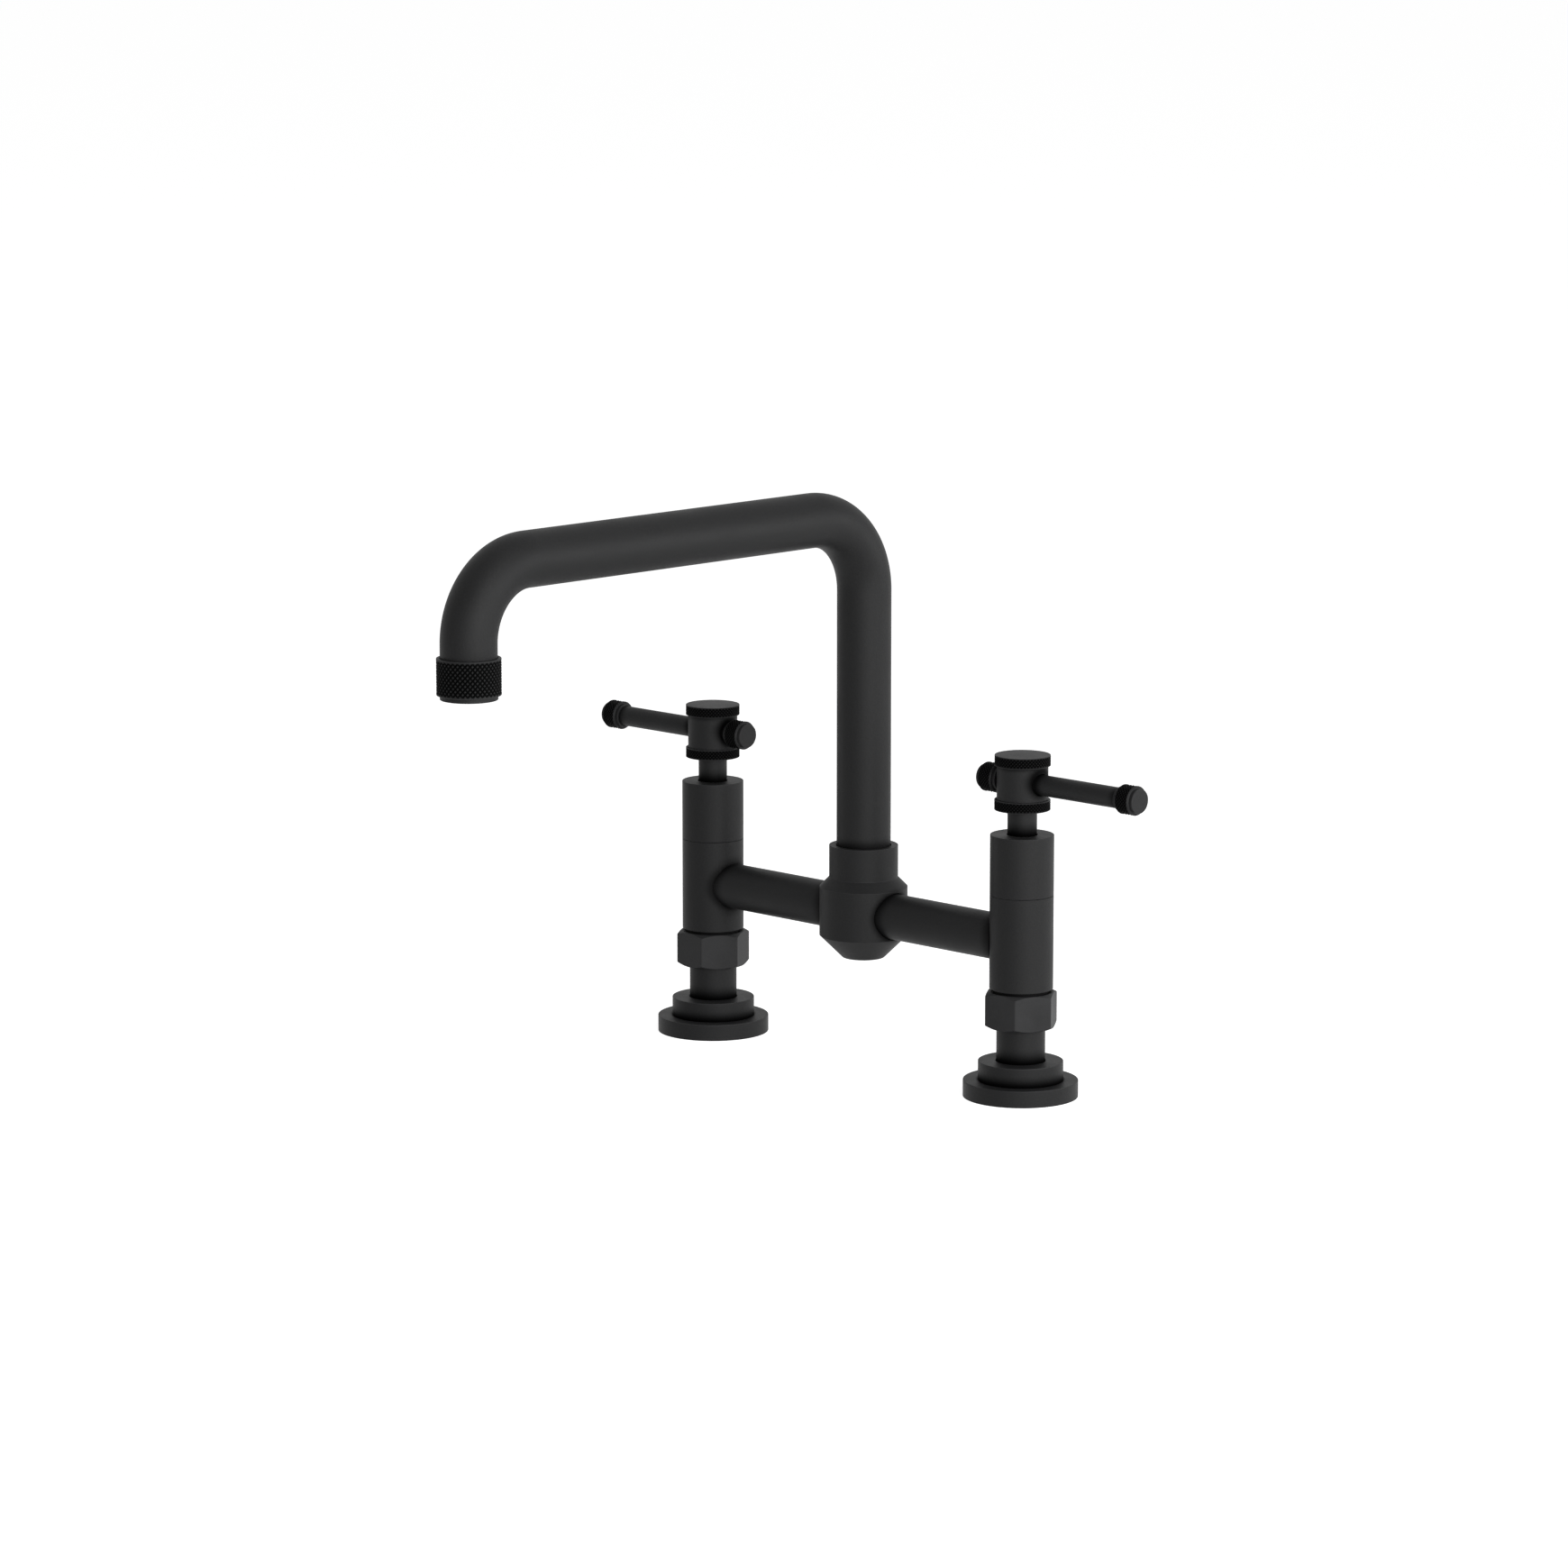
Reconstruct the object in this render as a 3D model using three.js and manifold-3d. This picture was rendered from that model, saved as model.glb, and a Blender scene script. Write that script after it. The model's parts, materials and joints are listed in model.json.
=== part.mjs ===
// Bridge kitchen faucet: two quarter-turn valves on deck flanges, and a bridge that carries a swivel spout.
// Millimetres, +Z up. The origin lies on the deck, halfway between the valves, under the riser.
// X runs along the bridge, the spout reaches towards -Y, and both handles are drawn in the closed position.

import * as THREE from 'three';
import { mergeVertices } from 'three/addons/utils/BufferGeometryUtils.js';
import Module from 'manifold-3d';

const wasm = await Module();
wasm.setup();

// ---------------------------------------------------------------------------------------------------------
// Driving dimensions
// ---------------------------------------------------------------------------------------------------------

// Clearances, small edges and walls shared by all pieces
const fit = 0.3;              // clearance between pieces that slide, screw or plug together
const edgeBreak = 0.4;        // bevel on turned edges
const seamGap = 0.2;          // open line between two halves of a column
const runningGap = 0.2;       // between faces that turn on each other
const web = 1.0;              // least metal left between two hollows
const overcut = 1;            // how far a cutting tool runs past the face it cuts

// Layout
const valveCentres = 203.2;   // between the axes of the two valve columns

// Deck flange and its gasket
const flangeRadius = 26.88;
const flangeThickness = 7.87;
const stepRadius = 19.89;
const stepHeight = 9.03;
const gasketThickness = 1.5;
const gasketRimWidth = 3.6;   // flange rim left outside the gasket recess

// Tailpiece, union nut and washer
const neckRadius = 11.4;
const neckLength = 16.0;      // bare neck between flange and nut
const waterwayRadius = 7.0;
const collarStep = 1.8;       // union collar and thread beyond the neck
const nutWall = 2.0;          // at the middle of a flat, outside the thread
const nutHeight = 17.0;
const nutLip = 2.7;           // inward lip that pulls on the tailpiece collar
const nutChamferInset = 0.35; // the end face's circle lies this far inside the flats
const nutChamferSlope = 0.565; // rise of the end chamfer for each millimetre outwards
const collarThickness = 3.1;
const washerThickness = 2.0;
const nutToBody = 1.35;       // gap that shows between nut and column
const leftNutTurn = -3.9;     // degrees, as the nuts came to rest when tightened
const rightNutTurn = 3.3;

// Valve column: body below the seam, bonnet above it
const columnRadius = 14.86;
const bodyHeight = 44.2;
const bonnetHeight = 28.28;
const bonnetWall = 1.2;
const bonnetRoof = 4.0;
const bodySpigotHeight = 6.5;

// Cartridge
const cartridgeRadius = 9.0;
const cartridgeWall = 0.9;
const seatHeight = 6.8;       // cartridge seat above the foot of the body
const sealThickness = 2.0;
const discThickness = 3.0;
const discPortInner = 2.4;
const discPortOuter = 6.2;
const discPortAngle = 76;     // degrees of each of the two opposite ports
const windowHeight = 9.0;
const windowWidth = 9.0;
const headHeight = 4.5;
const cartridgeNeckRadius = 6.2;
const spindleRadius = 4.0;
const spindleSquare = 5.6;    // across the flats of the square that turns with the handle
const bladeHeight = 3.0;
const bladeWidth = 3.6;
const bladeGrip = 1.4;        // how deep the blade sits in the moving disc

// Handle: neck, knurled collars, barrel, bar and knobs
const stemRadius = 6.88;
const stemShow = 11.67;       // bare neck between bonnet and lower collar
const stemEntry = 3.2;        // how far the neck reaches down into the bonnet
const barrelRadius = 11.94;
const barrelHeight = 15.8;
const collarRadius = 13.02;
const lowerCollarHeight = 4.9;
const capHeight = 5.0;
const capSpigotRadius = 8.0;
const leverRadius = 4.87;
const knobSpigotRadius = 3.0;
const knobSpigotLength = 6.0;
const leverReach = 72.1;      // column axis to the outer end of the long knob
const shortKnobGap = 0.6;     // barrel to the inner knob, on the centre line
const knobLength = 11.6;
const knobRadius = 6.87;
const knobButtonRadius = 5.72;
const knobButtonLength = 1.6;
const knobBevel = 0.57;
const grubRadius = 1.5;

// Bridge pipes and centre body
const pipeRadius = 10.85;
const pipeBore = 6.5;
const pipeNippleRadius = 7.9;
const socketWall = 1.54;      // metal left between the pipe sockets and the spout's bore
const centreRadius = 20.95;
const centreFootRadius = 10.02;
const waistBelow = 0.5;       // straight part of the body, beyond the pipes' lower and upper lines
const waistAbove = 1.2;
const footConeHeight = 10.78;
const shoulderHeight = 4.6;
const sleeveHeight = 15.45;
const sleeveWall = 3.22;
const chamberRadius = 9.0;
const chamberFloor = 3.0;

// Spout
const tubeRadius = 12.86;
const tubeWall = 1.46;
const spoutAxisHeight = 263.58;
const spoutReach = 251.85;
const riserBend = 36.25;
const tipBend = 34.5;
const tubeEntry = 4.15;       // tube inside the sleeve
const spigotInTube = 7.0;
const swivelSpigotWall = 2.6; // inside the riser
const outletSpigotWall = 1.6; // inside the spout's tip
const slipRingThickness = 1.5;
const oringSection = 1.9;
const oringGrooveWidth = 2.6;
const oringGrooveDepth = 1.96;
const retainingGrooveWidth = 3.4;
const retainingGrooveDepth = 1.6;

// Aerator
const outletDrop = 59.08;     // spout axis to the lower end of the aerator
const aeratorRingWall = 1.37; // outside the tube
const aeratorRingHeight = 16.7;
const aeratorThreadStep = 0.46; // outlet thread, inside the tube's outer face
const tubeInRing = 2.2;
const lipInset = 1.53;
const lipHeight = 2.0;
const lipWall = 2.2;
const insertFlange = 2.1;
const insertHeight = 10.0;
const insertHoleRadius = 1.5;
const insertHoleCount = 6;    // round the central one
const aeratorWasherThickness = 1.5;

// Facets round a full turn
const facetsWide = 24;
const facetsMedium = 20;
const facetsSlim = 16;
const facetsTiny = 8;
const facetsSealSection = 6;
const bendSteps = 7;
const portArcSteps = 2;       // half the facets along each arc of a disc port

// ---------------------------------------------------------------------------------------------------------
// Heights and places that follow from the sizes above
// ---------------------------------------------------------------------------------------------------------

const columnX = valveCentres / 2;
const unionThreadRadius = neckRadius + collarStep;
const nutAcrossFlats = 2 * (unionThreadRadius + fit + nutWall);
const stepTop = flangeThickness + stepHeight;
const nutBottom = stepTop + neckLength;
const nutTop = nutBottom + nutHeight;
const bodyBottom = nutTop + nutToBody;
const collarBottom = nutBottom + nutLip + fit;
const collarTop = collarBottom + collarThickness;
const spigotFoot = collarTop + washerThickness;
const bridgeZ = bodyBottom + bodyHeight / 2;
const seamZ = bodyBottom + bodyHeight;
const bonnetTop = seamZ + bonnetHeight;
const bonnetBore = columnRadius - bonnetWall;
const bodySpigotRadius = bonnetBore - fit;
const bodyTop = seamZ + bodySpigotHeight;
const cavityRadius = cartridgeRadius + fit;

const seatZ = bodyBottom + seatHeight;
const sealTop = seatZ + sealThickness;
const discChamber = cartridgeRadius - cartridgeWall;
const discRadius = discChamber - fit;
const fixedDiscZ = sealTop + runningGap;
const movingDiscZ = fixedDiscZ + discThickness + runningGap;
const bladeZ = movingDiscZ + discThickness - bladeGrip;
const windowZ = movingDiscZ + discThickness / 2;
const chamberTop = windowZ + windowHeight;
const headZ = bodyTop + fit;

const stemFoot = bonnetTop - stemEntry;
const lowerCollarZ = bonnetTop + stemShow;
const barrelZ = lowerCollarZ + lowerCollarHeight;
const leverZ = barrelZ + barrelHeight / 2;
const barrelTop = barrelZ + barrelHeight;
const spindleTop = leverZ - leverRadius - fit - 3 * web;
const capSeatZ = leverZ + leverRadius + fit + web;
const hubGrubZ = (bonnetTop + lowerCollarZ) / 2;
const longKnobX = leverReach - knobLength;
const shortKnobX = -(barrelRadius + shortKnobGap);

const centreBottom = bridgeZ - pipeRadius - waistBelow;
const centreTop = bridgeZ + pipeRadius + waistAbove;
const sleeveFoot = centreTop + shoulderHeight;
const sleeveTop = sleeveFoot + sleeveHeight;
const sleeveBore = tubeRadius + fit;
const sleeveRadius = sleeveBore + sleeveWall;
const swivelFloor = bridgeZ + pipeBore + web;
const socketEnd = sleeveBore + socketWall;
const tubeFoot = sleeveTop - tubeEntry;
const tubeBore = tubeRadius - tubeWall;
const tubePlug = tubeBore - fit;
const spoutGrubZ = (sleeveFoot + tubeFoot) / 2 + web;
const slipRingTop = swivelFloor + slipRingThickness;
const swivelFoot = slipRingTop + runningGap;
const lowerGrooveZ = swivelFoot + oringGrooveWidth;
const upperGrooveZ = spoutGrubZ - retainingGrooveWidth / 2 - 2 * oringGrooveWidth;

const outletZ = spoutAxisHeight - outletDrop;
const ringZ = outletZ + lipHeight;
const ringTop = ringZ + aeratorRingHeight;
const tubeEndZ = ringTop - tubeInRing;
const aeratorWasherZ = ringZ + insertFlange;
const outletSpigotZ = aeratorWasherZ + aeratorWasherThickness;
const outletBore = tubePlug - outletSpigotWall;
const aeratorRadius = tubeRadius + fit + aeratorRingWall;
const aeratorThreadRadius = tubeRadius - aeratorThreadStep;
const lipRadius = aeratorRadius - lipInset;
const mouthRadius = lipRadius - lipWall;

// ---------------------------------------------------------------------------------------------------------
// Finishes
// ---------------------------------------------------------------------------------------------------------

const finishes = {
  matteBlack: { color: 0x27282a, roughness: 0.55, metalness: 0.35 },
  knurledBlack: { color: 0x1b1c1d, roughness: 0.6, metalness: 0.35 },
  brass: { color: 0xb08d4c, roughness: 0.35, metalness: 1.0 },
  steel: { color: 0x8c8f92, roughness: 0.3, metalness: 1.0 },
  rubber: { color: 0x151515, roughness: 0.9, metalness: 0.0 },
  ceramic: { color: 0xe9e7e0, roughness: 0.25, metalness: 0.0 },
  plastic: { color: 0x3a3c3e, roughness: 0.5, metalness: 0.0 },
};

// ---------------------------------------------------------------------------------------------------------
// Shape helpers
// ---------------------------------------------------------------------------------------------------------

// A named mesh with its own material.
function piece(name, geometry, finish) {
  const mesh = new THREE.Mesh(geometry, new THREE.MeshStandardMaterial(finishes[finish]));
  mesh.name = name;
  return mesh;
}

// Turns an outline of [radius, height] points about +Z. The outline runs anticlockwise, from axis to axis.
function turned(outline, facets) {
  const points = outline.map(([r, z]) => new THREE.Vector2(r, z));
  return new THREE.LatheGeometry(points, facets).rotateX(Math.PI / 2);
}

// The same for a ring: the outline closes on itself and stays off the axis.
function turnedRing(outline, facets) {
  return turned([...outline, outline[0]], facets);
}

// A plain ring between two radii and two heights.
function washer(inner, outer, low, high, facets) {
  return turnedRing([[inner, low], [outer, low], [outer, high], [inner, high]], facets);
}

// A plain round bar along +Z.
function bar(radius, low, high, facets) {
  return turned([[0, low], [radius, low], [radius, high], [0, high]], facets);
}

// The same along +X or +Y, at a height.
function barAlongX(radius, from, to, z, facets) {
  return bar(radius, from, to, facets).rotateY(Math.PI / 2).translate(0, 0, z);
}

function barAlongY(radius, from, to, z, facets) {
  return bar(radius, from, to, facets).rotateX(-Math.PI / 2).translate(0, 0, z);
}

// A rectangular bar along +Z, centred on the axis.
function squareBar(width, depth, low, high) {
  return new THREE.BoxGeometry(width, depth, high - low).translate(0, 0, (low + high) / 2);
}

// A hexagon bar along +Z with two corners on the X axis.
function hexagonBar(acrossFlats, low, high) {
  const cornerRadius = acrossFlats / Math.sqrt(3);
  const corners = Array.from({ length: 6 }, (_, i) => (
    new THREE.Vector2(cornerRadius, 0).rotateAround(new THREE.Vector2(), (i * Math.PI) / 3)
  ));
  const options = { depth: high - low, bevelEnabled: false };
  return new THREE.ExtrudeGeometry(new THREE.Shape(corners), options).translate(0, 0, low);
}

// A closed geometry as a solid that can be joined and cut.
function solid(geometry) {
  const bare = geometry.clone();
  bare.deleteAttribute('normal');
  bare.deleteAttribute('uv');
  const merged = mergeVertices(bare, 1e-3);
  return new wasm.Manifold(new wasm.Mesh({
    numProp: 3,
    vertProperties: merged.attributes.position.array,
    triVerts: new Uint32Array(merged.index.array),
  }));
}

// A solid as a geometry with flat faces.
function geometryOf(body) {
  const mesh = body.getMesh();
  const geometry = new THREE.BufferGeometry();
  geometry.setAttribute('position', new THREE.BufferAttribute(mesh.vertProperties, 3));
  geometry.setIndex(new THREE.BufferAttribute(mesh.triVerts, 1));
  const faceted = geometry.toNonIndexed();
  faceted.computeVertexNormals();
  return faceted;
}

// A geometry with others cut out of it.
function cut(base, ...tools) {
  return geometryOf(tools.reduce((body, tool) => body.subtract(solid(tool)), solid(base)));
}

// Overlapping geometries as one.
function joined(base, ...others) {
  return geometryOf(others.reduce((body, other) => body.add(solid(other)), solid(base)));
}

// What two geometries have in common.
function common(one, other) {
  return geometryOf(solid(one).intersect(solid(other)));
}

// ---------------------------------------------------------------------------------------------------------
// Deck flange, tailpiece and union
// ---------------------------------------------------------------------------------------------------------

// Stepped flange. The gasket lies in a recess inside its rim.
function deckFlange(name) {
  const bore = neckRadius + fit;
  const recess = flangeRadius - gasketRimWidth;
  return piece(name, turnedRing([
    [bore, gasketThickness],
    [recess, gasketThickness],
    [recess, 0],
    [flangeRadius, 0],
    [flangeRadius, flangeThickness - edgeBreak],
    [flangeRadius - edgeBreak, flangeThickness],
    [stepRadius, flangeThickness],
    [stepRadius, stepTop - edgeBreak],
    [stepRadius - edgeBreak, stepTop],
    [bore, stepTop],
  ], facetsWide), 'matteBlack');
}

function deckGasket(name) {
  const outer = flangeRadius - gasketRimWidth - fit;
  return piece(name, washer(neckRadius + fit, outer, 0, gasketThickness, facetsSlim), 'rubber');
}

// Inlet tube with the collar that the nut pulls up against the washer.
function tailpiece(name) {
  return piece(name, turnedRing([
    [waterwayRadius, 0],
    [neckRadius, 0],
    [neckRadius, collarBottom],
    [unionThreadRadius, collarBottom],
    [unionThreadRadius, collarTop],
    [waterwayRadius, collarTop],
  ], facetsMedium), 'matteBlack');
}

// Hexagon nut. A cone chamfers both ends, so that each flat ends in an arc.
function unionNut(name) {
  const endCircle = nutAcrossFlats / 2 - nutChamferInset;
  const beyond = nutAcrossFlats / Math.sqrt(3) + overcut;
  const rise = (beyond - endCircle) * nutChamferSlope;
  const chamfers = turned([
    [0, nutBottom],
    [endCircle, nutBottom],
    [beyond, nutBottom + rise],
    [beyond, nutTop - rise],
    [endCircle, nutTop],
    [0, nutTop],
  ], facetsWide);
  const neckHole = bar(neckRadius + fit, nutBottom - overcut, nutTop + overcut, facetsWide);
  const thread = bar(unionThreadRadius + fit, nutBottom + nutLip, nutTop + overcut, facetsWide);
  const blank = common(hexagonBar(nutAcrossFlats, nutBottom, nutTop), chamfers);
  return piece(name, cut(blank, neckHole, thread), 'matteBlack');
}

function unionWasher(name) {
  const ring = washer(waterwayRadius + fit, unionThreadRadius - fit, collarTop, spigotFoot, facetsSlim);
  return piece(name, ring, 'rubber');
}

// ---------------------------------------------------------------------------------------------------------
// Valve column
// ---------------------------------------------------------------------------------------------------------

// Lower half of the column: union thread, cartridge cavity, and a side port towards -X for the bridge pipe.
function valveBody(name) {
  const shell = turnedRing([
    [waterwayRadius, spigotFoot],
    [unionThreadRadius, spigotFoot],
    [unionThreadRadius, bodyBottom],
    [columnRadius, bodyBottom],
    [columnRadius, seamZ - seamGap],
    [bodySpigotRadius, seamZ - seamGap],
    [bodySpigotRadius, bodyTop],
    [cavityRadius, bodyTop],
    [cavityRadius, seatZ],
    [waterwayRadius, seatZ],
  ], facetsMedium);
  const port = barAlongX(pipeNippleRadius + fit, -2 * columnRadius, -cavityRadius / 2, bridgeZ, facetsMedium);
  return piece(name, cut(shell, port), 'matteBlack');
}

// Upper half of the column: a cap screwed over the body, with a hole for the handle's neck.
function bonnet(name) {
  return piece(name, turnedRing([
    [bonnetBore, seamZ],
    [columnRadius, seamZ],
    [columnRadius, bonnetTop - edgeBreak],
    [columnRadius - edgeBreak, bonnetTop],
    [stemRadius + fit, bonnetTop],
    [stemRadius + fit, bonnetTop - bonnetRoof],
    [bonnetBore, bonnetTop - bonnetRoof],
  ], facetsMedium), 'matteBlack');
}

// ---------------------------------------------------------------------------------------------------------
// Quarter-turn cartridge
// ---------------------------------------------------------------------------------------------------------

function seatSeal(name) {
  return piece(name, washer(waterwayRadius, cartridgeRadius, seatZ, sealTop, facetsSlim), 'rubber');
}

// Brass shell: disc chamber with two side windows, hexagon head that clamps it down, and spindle guide.
function cartridgeBody(name) {
  const neckTop = stemFoot - fit;
  const guideBore = spindleRadius + fit;
  const barrel = turnedRing([
    [discChamber, sealTop],
    [cartridgeRadius, sealTop],
    [cartridgeRadius, headZ],
    [cartridgeNeckRadius, headZ],
    [cartridgeNeckRadius, neckTop],
    [guideBore, neckTop],
    [guideBore, chamberTop],
    [discChamber, chamberTop],
  ], facetsSlim);
  const headFlats = (bonnetBore - 2 * fit) * Math.sqrt(3);
  const headTop = headZ + headHeight;
  const clearance = bar(cartridgeNeckRadius - fit, headZ - overcut, headTop + overcut, facetsSlim);
  const head = cut(hexagonBar(headFlats, headZ, headTop), clearance);
  const windows = squareBar(4 * cartridgeRadius, windowWidth, windowZ, windowZ + windowHeight);
  return piece(name, cut(joined(barrel, head), windows), 'brass');
}

// Ceramic disc with two opposite ports, centred on the X axis.
function portedDisc() {
  const half = THREE.MathUtils.degToRad(discPortAngle / 2);
  const ports = [0, Math.PI].map((middle) => {
    const shape = new THREE.Shape();
    shape.absarc(0, 0, discPortOuter, middle - half, middle + half, false);
    shape.absarc(0, 0, discPortInner, middle + half, middle - half, true);
    const options = { depth: 3 * discThickness, bevelEnabled: false, curveSegments: portArcSteps };
    return new THREE.ExtrudeGeometry(shape, options).translate(0, 0, -discThickness);
  });
  return cut(bar(discRadius, 0, discThickness, facetsSlim), ...ports);
}

function fixedDisc(name) {
  return piece(name, portedDisc().translate(0, 0, fixedDiscZ), 'ceramic');
}

// The disc that turns has a slot across its top for the spindle's blade. A quarter turn shuts the ports.
function movingDisc(name) {
  const slotFloor = discThickness - bladeGrip - runningGap;
  const slot = squareBar(3 * discRadius, bladeWidth + 2 * runningGap, slotFloor, 2 * discThickness);
  const disc = cut(portedDisc().rotateZ(Math.PI / 2), slot);
  return piece(name, disc.translate(0, 0, movingDiscZ), 'ceramic');
}

// Spindle: a blade drives the moving disc, and a square runs up into the handle's neck.
function spindle(name) {
  const blade = common(
    bar(discRadius, bladeZ, bladeZ + bladeHeight, facetsSlim),
    squareBar(3 * discRadius, bladeWidth, bladeZ - overcut, bladeZ + 2 * bladeHeight),
  );
  const shaft = bar(spindleRadius, bladeZ + bladeHeight / 2, stemFoot - fit, facetsSlim);
  const square = squareBar(spindleSquare, spindleSquare, stemFoot - web, spindleTop);
  return piece(name, joined(blade, shaft, square), 'brass');
}

// ---------------------------------------------------------------------------------------------------------
// Handle
// ---------------------------------------------------------------------------------------------------------

// Turned hub: a neck broached for the spindle's square, and a barrel bored across for the lever.
function handleHub(name) {
  const blank = turned([
    [0, stemFoot],
    [stemRadius, stemFoot],
    [stemRadius, barrelZ],
    [barrelRadius, barrelZ],
    [barrelRadius, barrelTop],
    [capSpigotRadius + fit, barrelTop],
    [capSpigotRadius + fit, capSeatZ],
    [0, capSeatZ],
  ], facetsMedium);
  const broachFlats = spindleSquare + 2 * fit;
  const broach = squareBar(broachFlats, broachFlats, stemFoot - overcut, spindleTop + fit);
  const leverHole = barAlongX(leverRadius + fit, -2 * barrelRadius, 2 * barrelRadius, leverZ, facetsSlim);
  const leverScrewHole = barAlongY(grubRadius + fit, 0, 2 * barrelRadius, leverZ, facetsTiny);
  const spindleScrewHole = barAlongY(grubRadius + fit, 0, 2 * barrelRadius, hubGrubZ, facetsTiny);
  return piece(name, cut(blank, broach, leverHole, leverScrewHole, spindleScrewHole), 'matteBlack');
}

// Ring round the neck, under the barrel.
function lowerCollar(name) {
  return piece(name, turnedRing([
    [stemRadius + fit, lowerCollarZ],
    [collarRadius - edgeBreak, lowerCollarZ],
    [collarRadius, lowerCollarZ + edgeBreak],
    [collarRadius, barrelZ - edgeBreak],
    [collarRadius - edgeBreak, barrelZ],
    [stemRadius + fit, barrelZ],
  ], facetsMedium), 'knurledBlack');
}

// Cap on top of the barrel, with a spigot that screws into the hub.
function topCap(name) {
  const top = barrelTop + capHeight;
  return piece(name, turned([
    [0, capSeatZ + fit],
    [capSpigotRadius, capSeatZ + fit],
    [capSpigotRadius, barrelTop],
    [collarRadius - edgeBreak, barrelTop],
    [collarRadius, barrelTop + edgeBreak],
    [collarRadius, top - edgeBreak],
    [collarRadius - edgeBreak, top],
    [0, top],
  ], facetsMedium), 'knurledBlack');
}

// Bar through the hub, turned down at both ends to screw into the knobs.
function leverRod(name) {
  const inner = shortKnobX + fit;
  const outer = longKnobX - fit;
  const rod = turned([
    [0, inner - knobSpigotLength],
    [knobSpigotRadius, inner - knobSpigotLength],
    [knobSpigotRadius, inner],
    [leverRadius, inner],
    [leverRadius, outer],
    [knobSpigotRadius, outer],
    [knobSpigotRadius, outer + knobSpigotLength],
    [0, outer + knobSpigotLength],
  ], facetsSlim);
  return piece(name, rod.rotateY(Math.PI / 2).translate(0, 0, leverZ), 'matteBlack');
}

// Knob, drawn along +X from its inner face: a button at each end of a bevelled ring, and a blind bore.
function knob(name) {
  const boreRadius = knobSpigotRadius + fit;
  const boreDepth = knobSpigotLength + fit;
  const ringEnd = knobLength - knobButtonLength;
  const ringSide = knobRadius - knobBevel;
  const outline = turned([
    [0, boreDepth],
    [boreRadius, boreDepth],
    [boreRadius, 0],
    [knobButtonRadius, 0],
    [knobButtonRadius, knobButtonLength],
    [ringSide, knobButtonLength],
    [knobRadius, knobButtonLength + knobBevel],
    [knobRadius, ringEnd - knobBevel],
    [ringSide, ringEnd],
    [knobButtonRadius, ringEnd],
    [knobButtonRadius, knobLength],
    [0, knobLength],
  ], facetsSlim);
  return piece(name, outline.rotateY(Math.PI / 2), 'knurledBlack');
}

// Headless screw along +Y.
function grubScrew(name, from, to, z) {
  return piece(name, barAlongY(grubRadius, from, to, z, facetsTiny), 'steel');
}

// ---------------------------------------------------------------------------------------------------------
// Bridge
// ---------------------------------------------------------------------------------------------------------

// Pipe towards +X. One end plugs into the centre body, the other is coped to the column round a nipple.
function bridgePipe(name) {
  const outer = barAlongX(pipeRadius, socketEnd + fit, columnX, bridgeZ, facetsMedium);
  const column = bar(columnRadius + fit, bridgeZ - 2 * pipeRadius, bridgeZ + 2 * pipeRadius, facetsMedium);
  const coped = cut(outer, column.translate(columnX, 0, 0));
  const nippleEnd = columnX - cavityRadius - fit;
  const nipple = barAlongX(pipeNippleRadius, columnX / 2, nippleEnd, bridgeZ, facetsMedium);
  const bore = barAlongX(pipeBore, 0, columnX, bridgeZ, facetsMedium);
  return piece(name, cut(joined(coped, nipple), bore), 'matteBlack');
}

// Turned tee: cones below and above a straight waist, pipe sockets on both sides, spout socket on top.
function centreBody(name) {
  const blank = turned([
    [0, centreBottom - footConeHeight],
    [centreFootRadius, centreBottom - footConeHeight],
    [centreRadius, centreBottom],
    [centreRadius, centreTop],
    [sleeveRadius, sleeveFoot],
    [sleeveRadius, sleeveTop - edgeBreak],
    [sleeveRadius - edgeBreak, sleeveTop],
    [sleeveBore, sleeveTop],
    [sleeveBore, swivelFloor],
    [chamberRadius, swivelFloor],
    [chamberRadius, centreBottom + chamberFloor],
    [0, centreBottom + chamberFloor],
  ], facetsWide);
  const sockets = [0, Math.PI].map((turn) => (
    barAlongX(pipeRadius + fit, socketEnd, 2 * centreRadius, bridgeZ, facetsMedium).rotateZ(turn)
  ));
  const waterway = barAlongX(pipeBore, -centreRadius, centreRadius, bridgeZ, facetsMedium);
  const grubHole = barAlongY(grubRadius + fit, sleeveBore - fit, 2 * sleeveRadius, spoutGrubZ, facetsTiny);
  return piece(name, cut(blank, ...sockets, waterway, grubHole), 'matteBlack');
}

// ---------------------------------------------------------------------------------------------------------
// Spout
// ---------------------------------------------------------------------------------------------------------

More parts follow.
